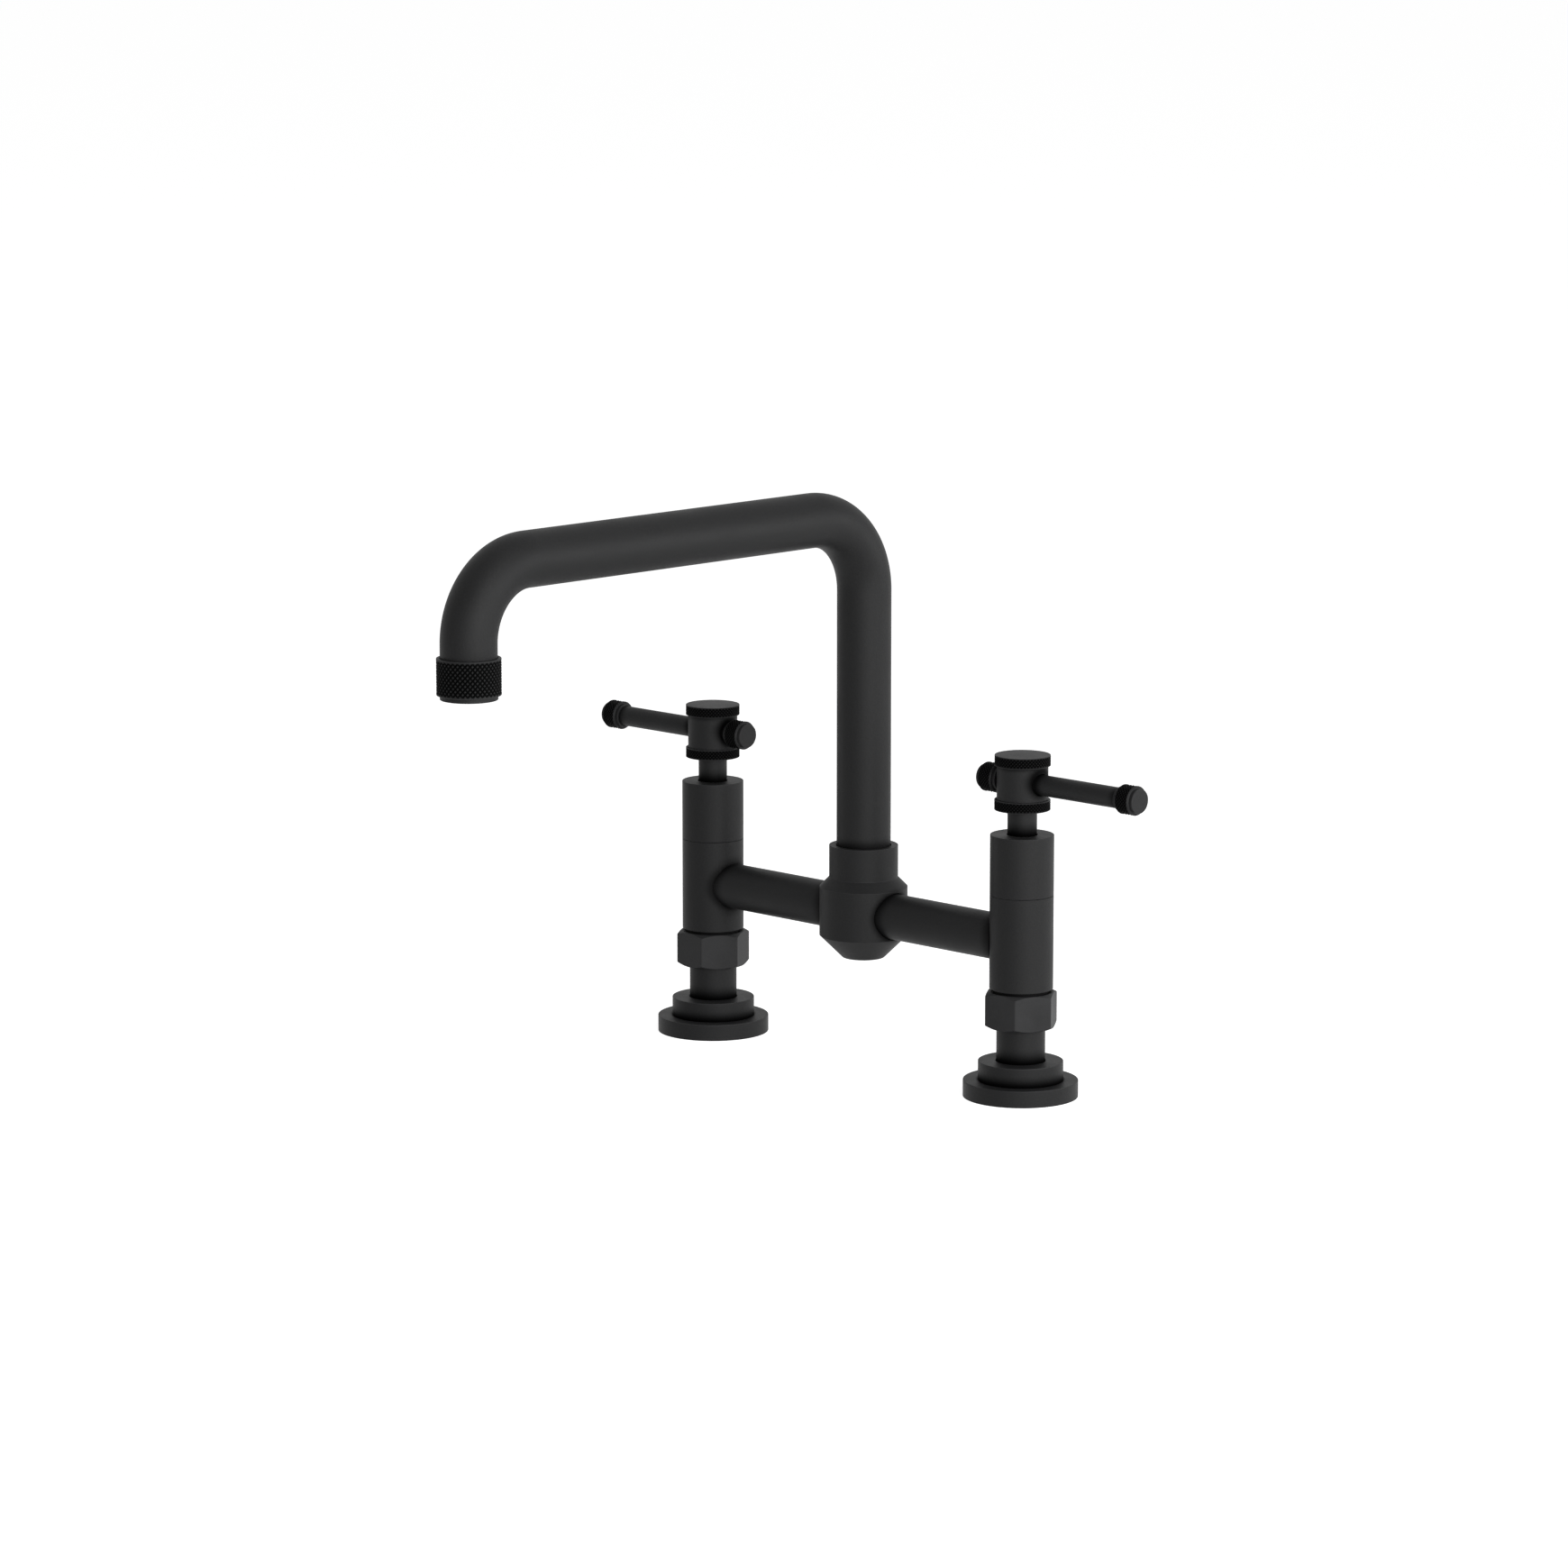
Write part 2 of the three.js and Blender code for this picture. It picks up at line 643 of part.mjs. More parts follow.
// Centre line of the spout: straight legs of one step each, joined by quarter bends of several steps.
class SpoutLine extends THREE.Curve {
  constructor() {
    super();
    const top = spoutAxisHeight;
    const forward = (reach, height) => new THREE.Vector3(0, -reach, height);
    const straight = (from, to) => ({
      steps: 1,
      point: (share) => from.clone().lerp(to, share),
      tangent: () => to.clone().sub(from).normalize(),
    });
    const bend = (centre, radius, startDegrees) => {
      const angle = (share) => THREE.MathUtils.degToRad(startDegrees - 90 * share);
      const outwards = (share) => forward(Math.cos(angle(share)), Math.sin(angle(share)));
      return {
        steps: bendSteps,
        point: (share) => outwards(share).multiplyScalar(radius).add(centre),
        tangent: (share) => forward(Math.sin(angle(share)), -Math.cos(angle(share))),
      };
    };
    this.legs = [
      straight(forward(0, tubeFoot), forward(0, top - riserBend)),
      bend(forward(riserBend, top - riserBend), riserBend, 180),
      straight(forward(riserBend, top), forward(spoutReach - tipBend, top)),
      bend(forward(spoutReach - tipBend, top - tipBend), tipBend, 90),
      straight(forward(spoutReach, top - tipBend), forward(spoutReach, tubeEndZ)),
    ];
    this.steps = this.legs.reduce((sum, leg) => sum + leg.steps, 0);
  }

  // The leg in which a share of the way falls, and the share of that leg.
  legAt(share) {
    let step = share * this.steps;
    const leg = this.legs.find((candidate) => {
      if (step <= candidate.steps) return true;
      step -= candidate.steps;
      return false;
    }) ?? this.legs.at(-1);
    return [leg, Math.min(step / leg.steps, 1)];
  }

  getPoint(share) {
    const [leg, legShare] = this.legAt(share);
    return leg.point(legShare);
  }

  getTangent(share) {
    const [leg, legShare] = this.legAt(share);
    return leg.tangent(legShare);
  }

  // Steps are shared out by leg, not by length.
  getUtoTmapping(share) {
    return share;
  }
}

// Drawn tube, open at both ends.
function spoutTube(name) {
  const line = new SpoutLine();
  const section = new THREE.Shape().absarc(0, 0, tubeRadius, 0, 2 * Math.PI, false);
  section.holes.push(new THREE.Path().absarc(0, 0, tubeBore, 0, 2 * Math.PI, true));
  const sweep = { steps: line.steps, extrudePath: line, bevelEnabled: false };
  const facets = { curveSegments: facetsMedium / 2 };
  return piece(name, new THREE.ExtrudeGeometry(section, { ...sweep, ...facets }), 'matteBlack');
}

function slipRing(name) {
  const ring = washer(chamberRadius + fit, tubeRadius, swivelFloor, slipRingTop, facetsSlim);
  return piece(name, ring, 'plastic');
}

// Brass foot brazed into the riser: two seal grooves and the groove that the retaining screw runs in.
function swivelSpigot(name) {
  const bore = tubePlug - swivelSpigotWall;
  const groove = (z, width, depth) => [
    [tubeRadius, z],
    [tubeRadius - depth, z],
    [tubeRadius - depth, z + width],
    [tubeRadius, z + width],
  ];
  const shoulder = tubeFoot - fit;
  return piece(name, turnedRing([
    [bore, swivelFoot],
    [tubeRadius, swivelFoot],
    ...groove(lowerGrooveZ, oringGrooveWidth, oringGrooveDepth),
    ...groove(upperGrooveZ, oringGrooveWidth, oringGrooveDepth),
    ...groove(spoutGrubZ - retainingGrooveWidth / 2, retainingGrooveWidth, retainingGrooveDepth),
    [tubeRadius, shoulder],
    [tubePlug, shoulder],
    [tubePlug, shoulder + spigotInTube],
    [bore, shoulder + spigotInTube],
  ], facetsSlim), 'brass');
}

// Round seal in the middle of its groove.
function oring(name, grooveZ) {
  const middle = (sleeveBore + tubeRadius - oringGrooveDepth) / 2;
  const ring = new THREE.TorusGeometry(middle, oringSection / 2, facetsSealSection, facetsSlim);
  return piece(name, ring.translate(0, 0, grooveZ + oringGrooveWidth / 2), 'rubber');
}

// Threaded end of the spout, brazed into the tube.
function outletSpigot(name) {
  const shoulder = tubeEndZ - fit;
  return piece(name, turnedRing([
    [outletBore, outletSpigotZ],
    [aeratorThreadRadius, outletSpigotZ],
    [aeratorThreadRadius, shoulder],
    [tubePlug, shoulder],
    [tubePlug, shoulder + spigotInTube],
    [outletBore, shoulder + spigotInTube],
  ], facetsSlim), 'brass');
}

// ---------------------------------------------------------------------------------------------------------
// Aerator
// ---------------------------------------------------------------------------------------------------------

// Ring that screws on the outlet, with a plain lip below and a ledge for the insert.
function aeratorShell(name) {
  const threadBore = aeratorThreadRadius + fit;
  return piece(name, turnedRing([
    [mouthRadius, outletZ],
    [lipRadius, outletZ],
    [lipRadius, ringZ],
    [aeratorRadius - edgeBreak, ringZ],
    [aeratorRadius, ringZ + edgeBreak],
    [aeratorRadius, ringTop - edgeBreak],
    [aeratorRadius - edgeBreak, ringTop],
    [tubeRadius + fit, ringTop],
    [tubeRadius + fit, tubeEndZ - fit],
    [threadBore, tubeEndZ - fit],
    [threadBore, ringZ],
    [mouthRadius, ringZ],
  ], facetsMedium), 'knurledBlack');
}

// Flow straightener: a flanged cup with a ring of holes round a central one.
function aeratorInsert(name) {
  const cupRadius = outletBore - fit;
  const cup = turned([
    [0, outletZ + fit],
    [mouthRadius - fit, outletZ + fit],
    [mouthRadius - fit, ringZ],
    [aeratorThreadRadius, ringZ],
    [aeratorThreadRadius, aeratorWasherZ],
    [cupRadius, aeratorWasherZ],
    [cupRadius, ringZ + insertHeight],
    [0, ringZ + insertHeight],
  ], facetsSlim);
  const hole = () => bar(insertHoleRadius, outletZ - overcut, ringZ + insertHeight + overcut, facetsTiny);
  const holeRing = Array.from({ length: insertHoleCount }, (_, i) => (
    hole().translate(cupRadius - 2 * insertHoleRadius, 0, 0).rotateZ((2 * Math.PI * i) / insertHoleCount)
  ));
  return piece(name, cut(cup, hole(), ...holeRing), 'plastic');
}

function aeratorWasher(name) {
  const ring = washer(outletBore, aeratorThreadRadius, aeratorWasherZ, outletSpigotZ, facetsSlim);
  return piece(name, ring, 'rubber');
}

// ---------------------------------------------------------------------------------------------------------
// Assembly
// ---------------------------------------------------------------------------------------------------------

// One valve with its handle, about its own axis. Its bridge port faces -X and its long arm points to +X.
// The handle's screws face +Y, or -Y when turned half way round.
function valve(side, nutTurn, screwTurn) {
  const group = new THREE.Group();
  const nut = unionNut(`${side}_union_nut`);
  nut.rotation.z = THREE.MathUtils.degToRad(nutTurn);
  const longKnob = knob(`${side}_long_knob`);
  longKnob.position.set(longKnobX, 0, leverZ);
  const shortKnob = knob(`${side}_short_knob`);
  shortKnob.position.set(shortKnobX, 0, leverZ);
  shortKnob.rotation.z = Math.PI;
  const hub = handleHub(`${side}_handle_hub`);
  const leverScrew = grubScrew(`${side}_lever_grub_screw`, leverRadius + fit, barrelRadius - fit, leverZ);
  const hubScrew = grubScrew(`${side}_hub_grub_screw`, spindleSquare / 2 + fit, stemRadius - fit, hubGrubZ);
  for (const part of [hub, leverScrew, hubScrew]) part.rotation.z = screwTurn;
  group.add(
    deckFlange(`${side}_deck_flange`),
    deckGasket(`${side}_deck_gasket`),
    tailpiece(`${side}_tailpiece`),
    nut,
    unionWasher(`${side}_union_washer`),
    valveBody(`${side}_valve_body`),
    bonnet(`${side}_bonnet`),
    seatSeal(`${side}_seat_seal`),
    cartridgeBody(`${side}_cartridge_body`),
    fixedDisc(`${side}_fixed_disc`),
    movingDisc(`${side}_moving_disc`),
    spindle(`${side}_spindle`),
    hub,
    hubScrew,
    lowerCollar(`${side}_lower_collar`),
    topCap(`${side}_top_cap`),
    leverRod(`${side}_lever_rod`),
    leverScrew,
    longKnob,
    shortKnob,
  );
  return group;
}

// The spout turns as one about the riser's axis.
function spout() {
  const outlet = new THREE.Group();
  outlet.position.y = -spoutReach;
  outlet.add(
    outletSpigot('outlet_spigot'),
    aeratorShell('aerator_shell'),
    aeratorInsert('aerator_insert'),
    aeratorWasher('aerator_washer'),
  );
  const group = new THREE.Group();
  group.add(
    spoutTube('spout_tube'),
    swivelSpigot('swivel_spigot'),
    oring('lower_oring', lowerGrooveZ),
    oring('upper_oring', upperGrooveZ),
    outlet,
  );
  return group;
}

const rightValve = valve('right', rightNutTurn, 0);
rightValve.position.x = columnX;

const leftValve = valve('left', leftNutTurn, Math.PI);
leftValve.position.x = -columnX;
leftValve.rotation.z = Math.PI;

const leftPipe = bridgePipe('left_bridge_pipe');
leftPipe.rotation.z = Math.PI;

const faucet = new THREE.Group();
faucet.add(
  rightValve,
  leftValve,
  bridgePipe('right_bridge_pipe'),
  leftPipe,
  centreBody('centre_body'),
  slipRing('slip_ring'),
  grubScrew('spout_grub_screw', tubeRadius - retainingGrooveDepth + fit, sleeveRadius - fit, spoutGrubZ),
  spout(),
);

export default faucet;
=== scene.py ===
"""Looks of a matte black bridge kitchen faucet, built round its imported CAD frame.

Every visible piece is a closed surface worked out with numpy: an outline turned round an axis, a section
carried along a path, or a grid bent round a port. Lengths are millimetres until a mesh is made, and metres
from there on. Places come from the boxes of the CAD nodes, so a piece sits where its node sits.
"""

import json
import logging
import math
from collections.abc import Callable, Sequence
from dataclasses import dataclass, replace
from enum import Enum
from typing import ClassVar

import bmesh
import bpy
import numpy as np
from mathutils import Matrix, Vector


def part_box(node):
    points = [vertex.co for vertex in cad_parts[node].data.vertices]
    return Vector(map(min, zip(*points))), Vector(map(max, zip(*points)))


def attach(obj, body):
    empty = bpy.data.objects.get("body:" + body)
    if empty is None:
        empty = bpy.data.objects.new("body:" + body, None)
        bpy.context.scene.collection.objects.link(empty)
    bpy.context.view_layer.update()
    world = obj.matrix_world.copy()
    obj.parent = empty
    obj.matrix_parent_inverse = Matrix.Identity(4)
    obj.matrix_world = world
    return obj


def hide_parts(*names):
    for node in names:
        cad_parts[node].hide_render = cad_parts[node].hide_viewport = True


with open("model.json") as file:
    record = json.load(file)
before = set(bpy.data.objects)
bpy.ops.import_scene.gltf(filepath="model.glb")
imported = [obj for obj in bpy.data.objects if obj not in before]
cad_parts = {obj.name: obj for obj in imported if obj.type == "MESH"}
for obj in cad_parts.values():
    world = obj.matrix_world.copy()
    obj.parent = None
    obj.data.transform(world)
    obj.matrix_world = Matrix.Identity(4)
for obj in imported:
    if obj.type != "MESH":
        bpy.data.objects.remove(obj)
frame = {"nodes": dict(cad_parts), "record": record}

LOG = logging.getLogger("bridge_faucet")

MM = 0.001
"""Metres in a millimetre."""

TINY = 1e-30
"""Keeps a division by a length of nothing finite."""

Array = np.ndarray
Socket = bpy.types.NodeSocket
Outline = Sequence[tuple[float, float]]

ROOT_BODY = "bridge_body"
SPOUT_BODY = "spout"


# ----------------------------------------------------------------------------------------------------------
# Places from the frame
# ----------------------------------------------------------------------------------------------------------


@dataclass(frozen=True)
class Room:
    """The box that a CAD node fills, in millimetres."""

    low: Array
    high: Array

    @classmethod
    def of(cls, node: str) -> "Room":
        """Read the box of a CAD node.

        Args:
            node: Name of the node.

        Returns:
            Its box in millimetres.
        """
        low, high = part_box(node)
        return cls(np.array(low) / MM, np.array(high) / MM)

    @property
    def middle(self) -> Array:
        """Middle of the box."""
        return (self.low + self.high) / 2

    @property
    def size(self) -> Array:
        """Length of the box along each axis."""
        return self.high - self.low

    @property
    def bottom(self) -> float:
        """Lowest height."""
        return float(self.low[2])

    @property
    def top(self) -> float:
        """Greatest height."""
        return float(self.high[2])

    def radius(self, axis: int = 1) -> float:
        """Half the box's width along an axis, which is a turned piece's radius."""
        return float(self.size[axis] / 2)


class Side(Enum):
    """Left or right valve, with the direction that its long lever arm points."""

    LEFT = ("left", -1.0)
    RIGHT = ("right", 1.0)

    def __init__(self, label: str, outward: float) -> None:
        """Keep the side's name and the sign of X that leads away from the spout."""
        self.label = label
        self.outward = outward

    def node(self, part: str) -> str:
        """Name of this side's node for a part."""
        return f"{self.label}_{part}"


class Spin(Enum):
    """Axis that an outline is turned about."""

    UPRIGHT = "z"
    SIDEWAYS = "x"
    FORWARDS = "y"


# ----------------------------------------------------------------------------------------------------------
# Surfaces
# ----------------------------------------------------------------------------------------------------------


@dataclass(frozen=True)
class CornerShade:
    """How far the painted shade of an inner corner reaches, and how dark it is painted in the corner itself.
    """

    along: float = 1.0
    """How far the shade of a ring reaches along its axis."""
    across: float = 1.0
    """How far the shade reaches away from the axis, or towards it."""
    strength: float = 1.0


@dataclass(frozen=True)
class Crease:
    """A round inner corner that gets painted shade: a ring about an axis, or a whole tube round it."""

    shade: CornerShade
    radius: float
    height: float | None = None
    """Place of the ring along the axis, or None for a tube."""
    spin: Spin = Spin.UPRIGHT
    origin: tuple[float, float, float] = (0.0, 0.0, 0.0)
    """A point of the axis, which heights count from."""

    def depth(self, points: Array) -> Array:
        """How deep points lie in the painted shade.

        With u for one less the distance counted in reaches, the depth is three times u squared less twice u
        cubed, times the strength: it falls smoothly from the ring to the end of its reach.

        Args:
            points: Rows of coordinates.

        Returns:
            The depth of each point, from 0 to 1.
        """
        x, y, z = (points - np.array(self.origin)).T
        across, side, along = {
            Spin.UPRIGHT: (x, y, z),
            Spin.SIDEWAYS: (y, z, x),
            Spin.FORWARDS: (z, x, y),
        }[self.spin]
        away = (np.hypot(across, side) - self.radius) / self.shade.across
        if self.height is not None:
            away = np.hypot(away, (along - self.height) / self.shade.along)
        near = np.clip(1 - np.abs(away), 0, 1)
        return self.shade.strength * near ** 2 * (3 - 2 * near)


class Shell:
    """A closed surface gathered from grids of points, welded where the grids meet."""

    WELD = 1e-4
    """Points closer than this many millimetres are one point."""

    MARKS = ("wear_and_highlight", "painted_shade")
    # Names of the point attributes: edges that rub bare and get a painted highlight, and painted shade.
    """Names of the point attributes."""

    def __init__(self) -> None:
        """Start with no points."""
        self._points: list[Array] = []
        self._marks: list[Array] = []
        self._quads: list[Array] = []
        self._count = 0

    def add(self, points: Array, wear_and_highlight: Array | float = 0.0, painted_shade: Array | float = 0.0,
            round_rows: bool = False, round_columns: bool = False) -> "Shell":
        """Add a grid of points.

        Args:
            points: Rows by columns by three coordinates, in millimetres.
            wear_and_highlight: How much each point lies on an edge that rubs bare and gets a painted
                highlight, from 0 to 1.
            painted_shade: Painted shade in a knurled face, from 0 outside it to 1 at the bottom of the
                grooves.
                Creases add painted shade too.
            round_rows: Whether the last row joins the first.
            round_columns: Whether the last column joins the first.

        Returns:
            This shell.
        """
        rows, columns = points.shape[:2]
        index = self._count + np.arange(rows * columns).reshape(rows, columns)
        if round_rows:
            index = np.vstack([index, index[:1]])
        if round_columns:
            index = np.hstack([index, index[:, :1]])
        corners = (index[:-1, :-1], index[:-1, 1:], index[1:, 1:], index[1:, :-1])
        self._quads.append(np.stack(corners, axis=-1).reshape(-1, 4))
        self._points.append(points.reshape(-1, 3))
        marks = [np.broadcast_to(mark, (rows, columns)).reshape(-1) for mark in (wear_and_highlight, painted_shade)]
        self._marks.append(np.stack(marks, axis=-1))
        self._count += rows * columns
        return self

    def add_turned(self, outline: Outline, radii: float | Sequence[float], segments: int) -> "Shell":
        """Round the corners of an open outline of radius and height, and turn it about Z."""
        points, wear_and_highlight = refined(*rounded(outline, radii, closed=False), closed=False)
        return self.add(turned(points, segments), wear_and_highlight[:, None], round_columns=True)

    def add_ring(self, outline: Outline, radii: float | Sequence[float], segments: int) -> "Shell":
        """Round the corners of a closed outline of radius and height, and turn it about Z."""
        points, wear_and_highlight = refined(*rounded(outline, radii))
        return self.add(turned(points, segments), wear_and_highlight[:, None], round_rows=True, round_columns=True)

    def shade(self, *creases: Crease) -> "Shell":
        """Deepen the painted shade of the points that lie in creases.

        Args:
            creases: The inner corners.

        Returns:
            This shell.
        """
        for points, marks in zip(self._points, self._marks):
            for crease in creases:
                marks[:, 1] = np.maximum(marks[:, 1], crease.depth(points))
        return self

    def move(self, mapping: Callable[[Array], Array]) -> "Shell":
        """Move all points by a mapping of coordinates."""
        self._points = [mapping(points) for points in self._points]
        return self

    def _welded(self) -> tuple[Array, Array, Array, Array]:
        """Merge points that coincide.

        Returns:
            Points, their marks, faces of four corners and faces of three. A face that lost one corner in
            the merging is a triangle, and one that lost two is gone.
        """
        points = np.concatenate(self._points)
        keys = np.round(points / self.WELD).astype(np.int64)
        _, first, inverse = np.unique(keys, axis=0, return_index=True, return_inverse=True)
        inverse = inverse.reshape(-1)
        marks = np.zeros((len(first), len(self.MARKS)))
        np.maximum.at(marks, inverse, np.concatenate(self._marks))
        quads = inverse[np.concatenate(self._quads)]
        doubled = quads == np.roll(quads, -1, axis=1)
        lost = doubled.sum(axis=1)
        thinned = quads[lost == 1]
        triangles = thinned[~doubled[lost == 1]].reshape(-1, 3)
        return points[first], marks, quads[lost == 0], triangles

    def mesh(self, name: str) -> bpy.types.Mesh:
        """Make a Blender mesh with faces out and smooth shading that keeps flats flat.

        Args:
            name: Name of the mesh.

        Returns:
            The mesh, in metres, with one point attribute for each of the marks.
        """
        points, marks, quads, triangles = self._welded()
        mesh = bpy.data.meshes.new(name)
        mesh.from_pydata((points * MM).tolist(), [], quads.tolist() + triangles.tolist())
        work = bmesh.new()
        work.from_mesh(mesh)
        bmesh.ops.recalc_face_normals(work, faces=work.faces)
        work.to_mesh(mesh)
        work.free()
        for mark, values in zip(self.MARKS, marks.T.astype(np.float32)):
            attribute = mesh.attributes.new(mark, "FLOAT", "POINT")
            attribute.data.foreach_set("value", np.ascontiguousarray(values))
        mesh.shade_smooth()
        mesh.normals_split_custom_set_from_vertices(area_weighted_normals(mesh).tolist())
        return mesh


def area_weighted_normals(mesh: bpy.types.Mesh) -> Array:
    """Work out point normals in which large faces count for more, so that flats stay flat beside thin bevels.

    Args:
        mesh: The mesh to read.

    Returns:
        One unit normal for each point: the sum of its faces' normals times their areas, made one long.
    """
    face_normals = np.empty(len(mesh.polygons) * 3)
    areas = np.empty(len(mesh.polygons))
    corners = np.empty(len(mesh.polygons), dtype=np.int64)
    loop_points = np.empty(len(mesh.loops), dtype=np.int64)
    mesh.polygons.foreach_get("normal", face_normals)
    mesh.polygons.foreach_get("area", areas)
    mesh.polygons.foreach_get("loop_total", corners)
    mesh.loops.foreach_get("vertex_index", loop_points)
    weighted = np.repeat(face_normals.reshape(-1, 3) * areas[:, None], corners, axis=0)
    total = np.zeros((len(mesh.vertices), 3))
    np.add.at(total, loop_points, weighted)
    return total / np.maximum(np.linalg.norm(total, axis=1, keepdims=True), TINY)


CORNER_STEPS = 4
"""Pieces in each rounded corner."""

CORNER_SHARE = 0.45
"""Greatest share of a side that a rounded corner takes."""

LONGEST_SIDE = 1.1
"""Greatest length of a side of a refined outline, short enough to carry the shade of creases."""


def rounded(outline: Outline, radii: float | Sequence[float], closed: bool = True) -> tuple[Array, Array]:
    """Round the corners of an outline.

    Each corner is replaced by a quadratic curve: it starts and ends on the two sides, a corner radius away
    from the corner or at most the corner's share of a side, and is pulled towards the corner between them.

    Args:
        outline: Corners as radius and height.
        radii: One corner radius for all corners, or one for each.
        closed: Whether the last corner joins the first. Otherwise the two ends stay sharp.

    Returns:
        The points, and each point's mark of an edge that rubs bare and gets a painted highlight: 1 in the
        middle of a rounded corner and 0 at its ends.
    """
    corners = np.array(outline, dtype=float)
    reach = np.broadcast_to(np.asarray(radii, dtype=float), (len(corners),)).copy()
    if not closed:
        reach[[0, -1]] = 0.0
    before = np.roll(corners, 1, axis=0) - corners
    after = np.roll(corners, -1, axis=0) - corners
    before_length = np.linalg.norm(before, axis=1, keepdims=True)
    after_length = np.linalg.norm(after, axis=1, keepdims=True)
    cut = np.minimum(reach[:, None], CORNER_SHARE * np.minimum(before_length, after_length))
    start = corners + before / np.maximum(before_length, TINY) * cut
    end = corners + after / np.maximum(after_length, TINY) * cut
    share = np.linspace(0.0, 1.0, CORNER_STEPS + 1)[None, :, None]
    curve = ((1 - share) ** 2 * start[:, None] + 2 * share * (1 - share) * corners[:, None]
             + share ** 2 * end[:, None])
    wear_and_highlight = 4 * share[..., 0] * (1 - share[..., 0]) * (reach[:, None] > 0)
    return curve.reshape(-1, 2), wear_and_highlight.reshape(-1)


def refined(points: Array, wear_and_highlight: Array, closed: bool = True) -> tuple[Array, Array]:
    """Split the sides of an outline evenly, so that none is longer than the longest side allowed.

    Args:
        points: The outline's points.
        wear_and_highlight: Their marks of edges that rub bare and get a painted highlight.
        closed: Whether the last point joins the first.

    Returns:
        The points and the edge marks of the finer outline.
    """
    after, wear_and_highlight_after = np.roll(points, -1, axis=0), np.roll(wear_and_highlight, -1)
    length = np.linalg.norm(after - points, axis=1)
    if not closed:
        length[-1] = 0.0
    count = np.maximum(np.ceil(length / LONGEST_SIDE).astype(int), 1)
    index = np.repeat(np.arange(len(points)), count)
    share = (np.arange(len(index)) - np.repeat(np.cumsum(count) - count, count)) / count[index]
    finer = (1 - share[:, None]) * points[index] + share[:, None] * after[index]
    return finer, (1 - share) * wear_and_highlight[index] + share * wear_and_highlight_after[index]


def turned(points: Array, segments: int, spin: Spin = Spin.UPRIGHT) -> Array:
    """Turn an outline about an axis: each point of radius r and height h goes round a circle of radius r.

    Args:
        points: Rows of radius and height.
        segments: Points round the circle.
        spin: Axis of the circle.

    Returns:
        A grid of points, one row for each outline point and one column for each angle.
    """
    angle = angles(segments)
    radius, height = points[:, :1], points[:, 1:] + 0 * angle
    return oriented(radius * np.cos(angle), radius * np.sin(angle), height, spin)


def angles(segments: int) -> Array:
    """Angles spread evenly round a circle, from an eighth of a turn before zero."""
    return np.linspace(0, 2 * np.pi, segments, endpoint=False) - np.pi / 4


def oriented(across: Array, side: Array, along: Array, spin: Spin) -> Array:
    """Put three coordinate grids in the order that lays their third one along an axis.

    Args:
        across: First coordinate at right angles to the axis.
        side: Second coordinate at right angles to it.
        along: Coordinate along the axis.
        spin: The axis.

    Returns:
        A grid of points.
    """
    order = {
        Spin.UPRIGHT: (across, side, along),
        Spin.SIDEWAYS: (along, across, side),
        Spin.FORWARDS: (side, along, across),
    }[spin]
    return np.stack(np.broadcast_arrays(*order), axis=-1)


def ringed(stations: Sequence[tuple[Array | float, Array | float]], angle: Array,
           spin: Spin = Spin.UPRIGHT) -> Array:
    """Lay a ring of points for each station: its radius in each direction, at its distance along the axis.

    Args:
        stations: Radius and distance along the axis, each a number or one value for each direction.
        angle: The directions, in radians.
        spin: Axis of the rings.

    Returns:
        A grid of points, one row for each station and one column for each direction.
    """
    reach = np.stack([np.broadcast_to(radius, angle.shape) for radius, _ in stations])
    along = np.stack([np.broadcast_to(distance, angle.shape) for _, distance in stations])
    return oriented(reach * np.cos(angle), reach * np.sin(angle), along, spin)


def hexagon_radius(angle: Array, across_flats: float, corner_radius: float, turn: float) -> Array:
    """Radius of a hexagon with rounded corners, in each direction.

    On a flat the radius is half the distance across flats over the cosine of the angle to the flat's middle.
    Near a corner it is where the ray meets a circle of the corner radius that touches both flats.

    Args:
        angle: Directions, in radians.
        across_flats: Distance between opposite flats.
        corner_radius: Radius of the rounded corners.
        turn: Direction of one corner, in radians.

    Returns:
        The radius in each direction.
    """
    sixth = np.pi / 3
    off_corner = np.abs((angle - turn + sixth / 2) % sixth - sixth / 2)
    apothem = across_flats / 2
    centre = (apothem - corner_radius) / math.cos(sixth / 2)
    touch = math.atan2(corner_radius * math.sin(sixth / 2), centre + corner_radius * math.cos(sixth / 2))
    flat = apothem / np.cos(sixth / 2 - off_corner)
    inside = np.maximum(corner_radius ** 2 - (centre * np.sin(off_corner)) ** 2, 0)
    corner = centre * np.cos(off_corner) + np.sqrt(inside)
    return np.where(off_corner < touch, corner, flat)


def square_border(steps: int) -> tuple[Array, Array]:
    """Go once round a square of side one, from its lower left corner and along its foot first.

    Args:
        steps: Steps along each side.

    Returns:
        Distance to the right of that corner, and above it, of each point.
    """
    ramp = np.linspace(0, 1, steps, endpoint=False)
    across = np.concatenate([ramp, 1 + 0 * ramp, 1 - ramp, 0 * ramp])
    up = np.concatenate([0 * ramp, ramp, 1 + 0 * ramp, 1 - ramp])
    return across, up


def border_directions(steps: int) -> Array:
    """Directions round a circle that pair its points with those of square_border, from the lower left."""
    return np.linspace(0, 2 * np.pi, 4 * steps, endpoint=False) - 0.75 * np.pi


@dataclass(frozen=True)
class Port:
    """A round hole in the side of a turned body."""

    quarter: int
    """Direction in quarter turns from +X towards +Y."""
    radius: float
    height: float
    floor: float
    """Distance from the body's axis to the hole's floor, or 0 for a hole that goes right through."""
    bevel: float = 0.12


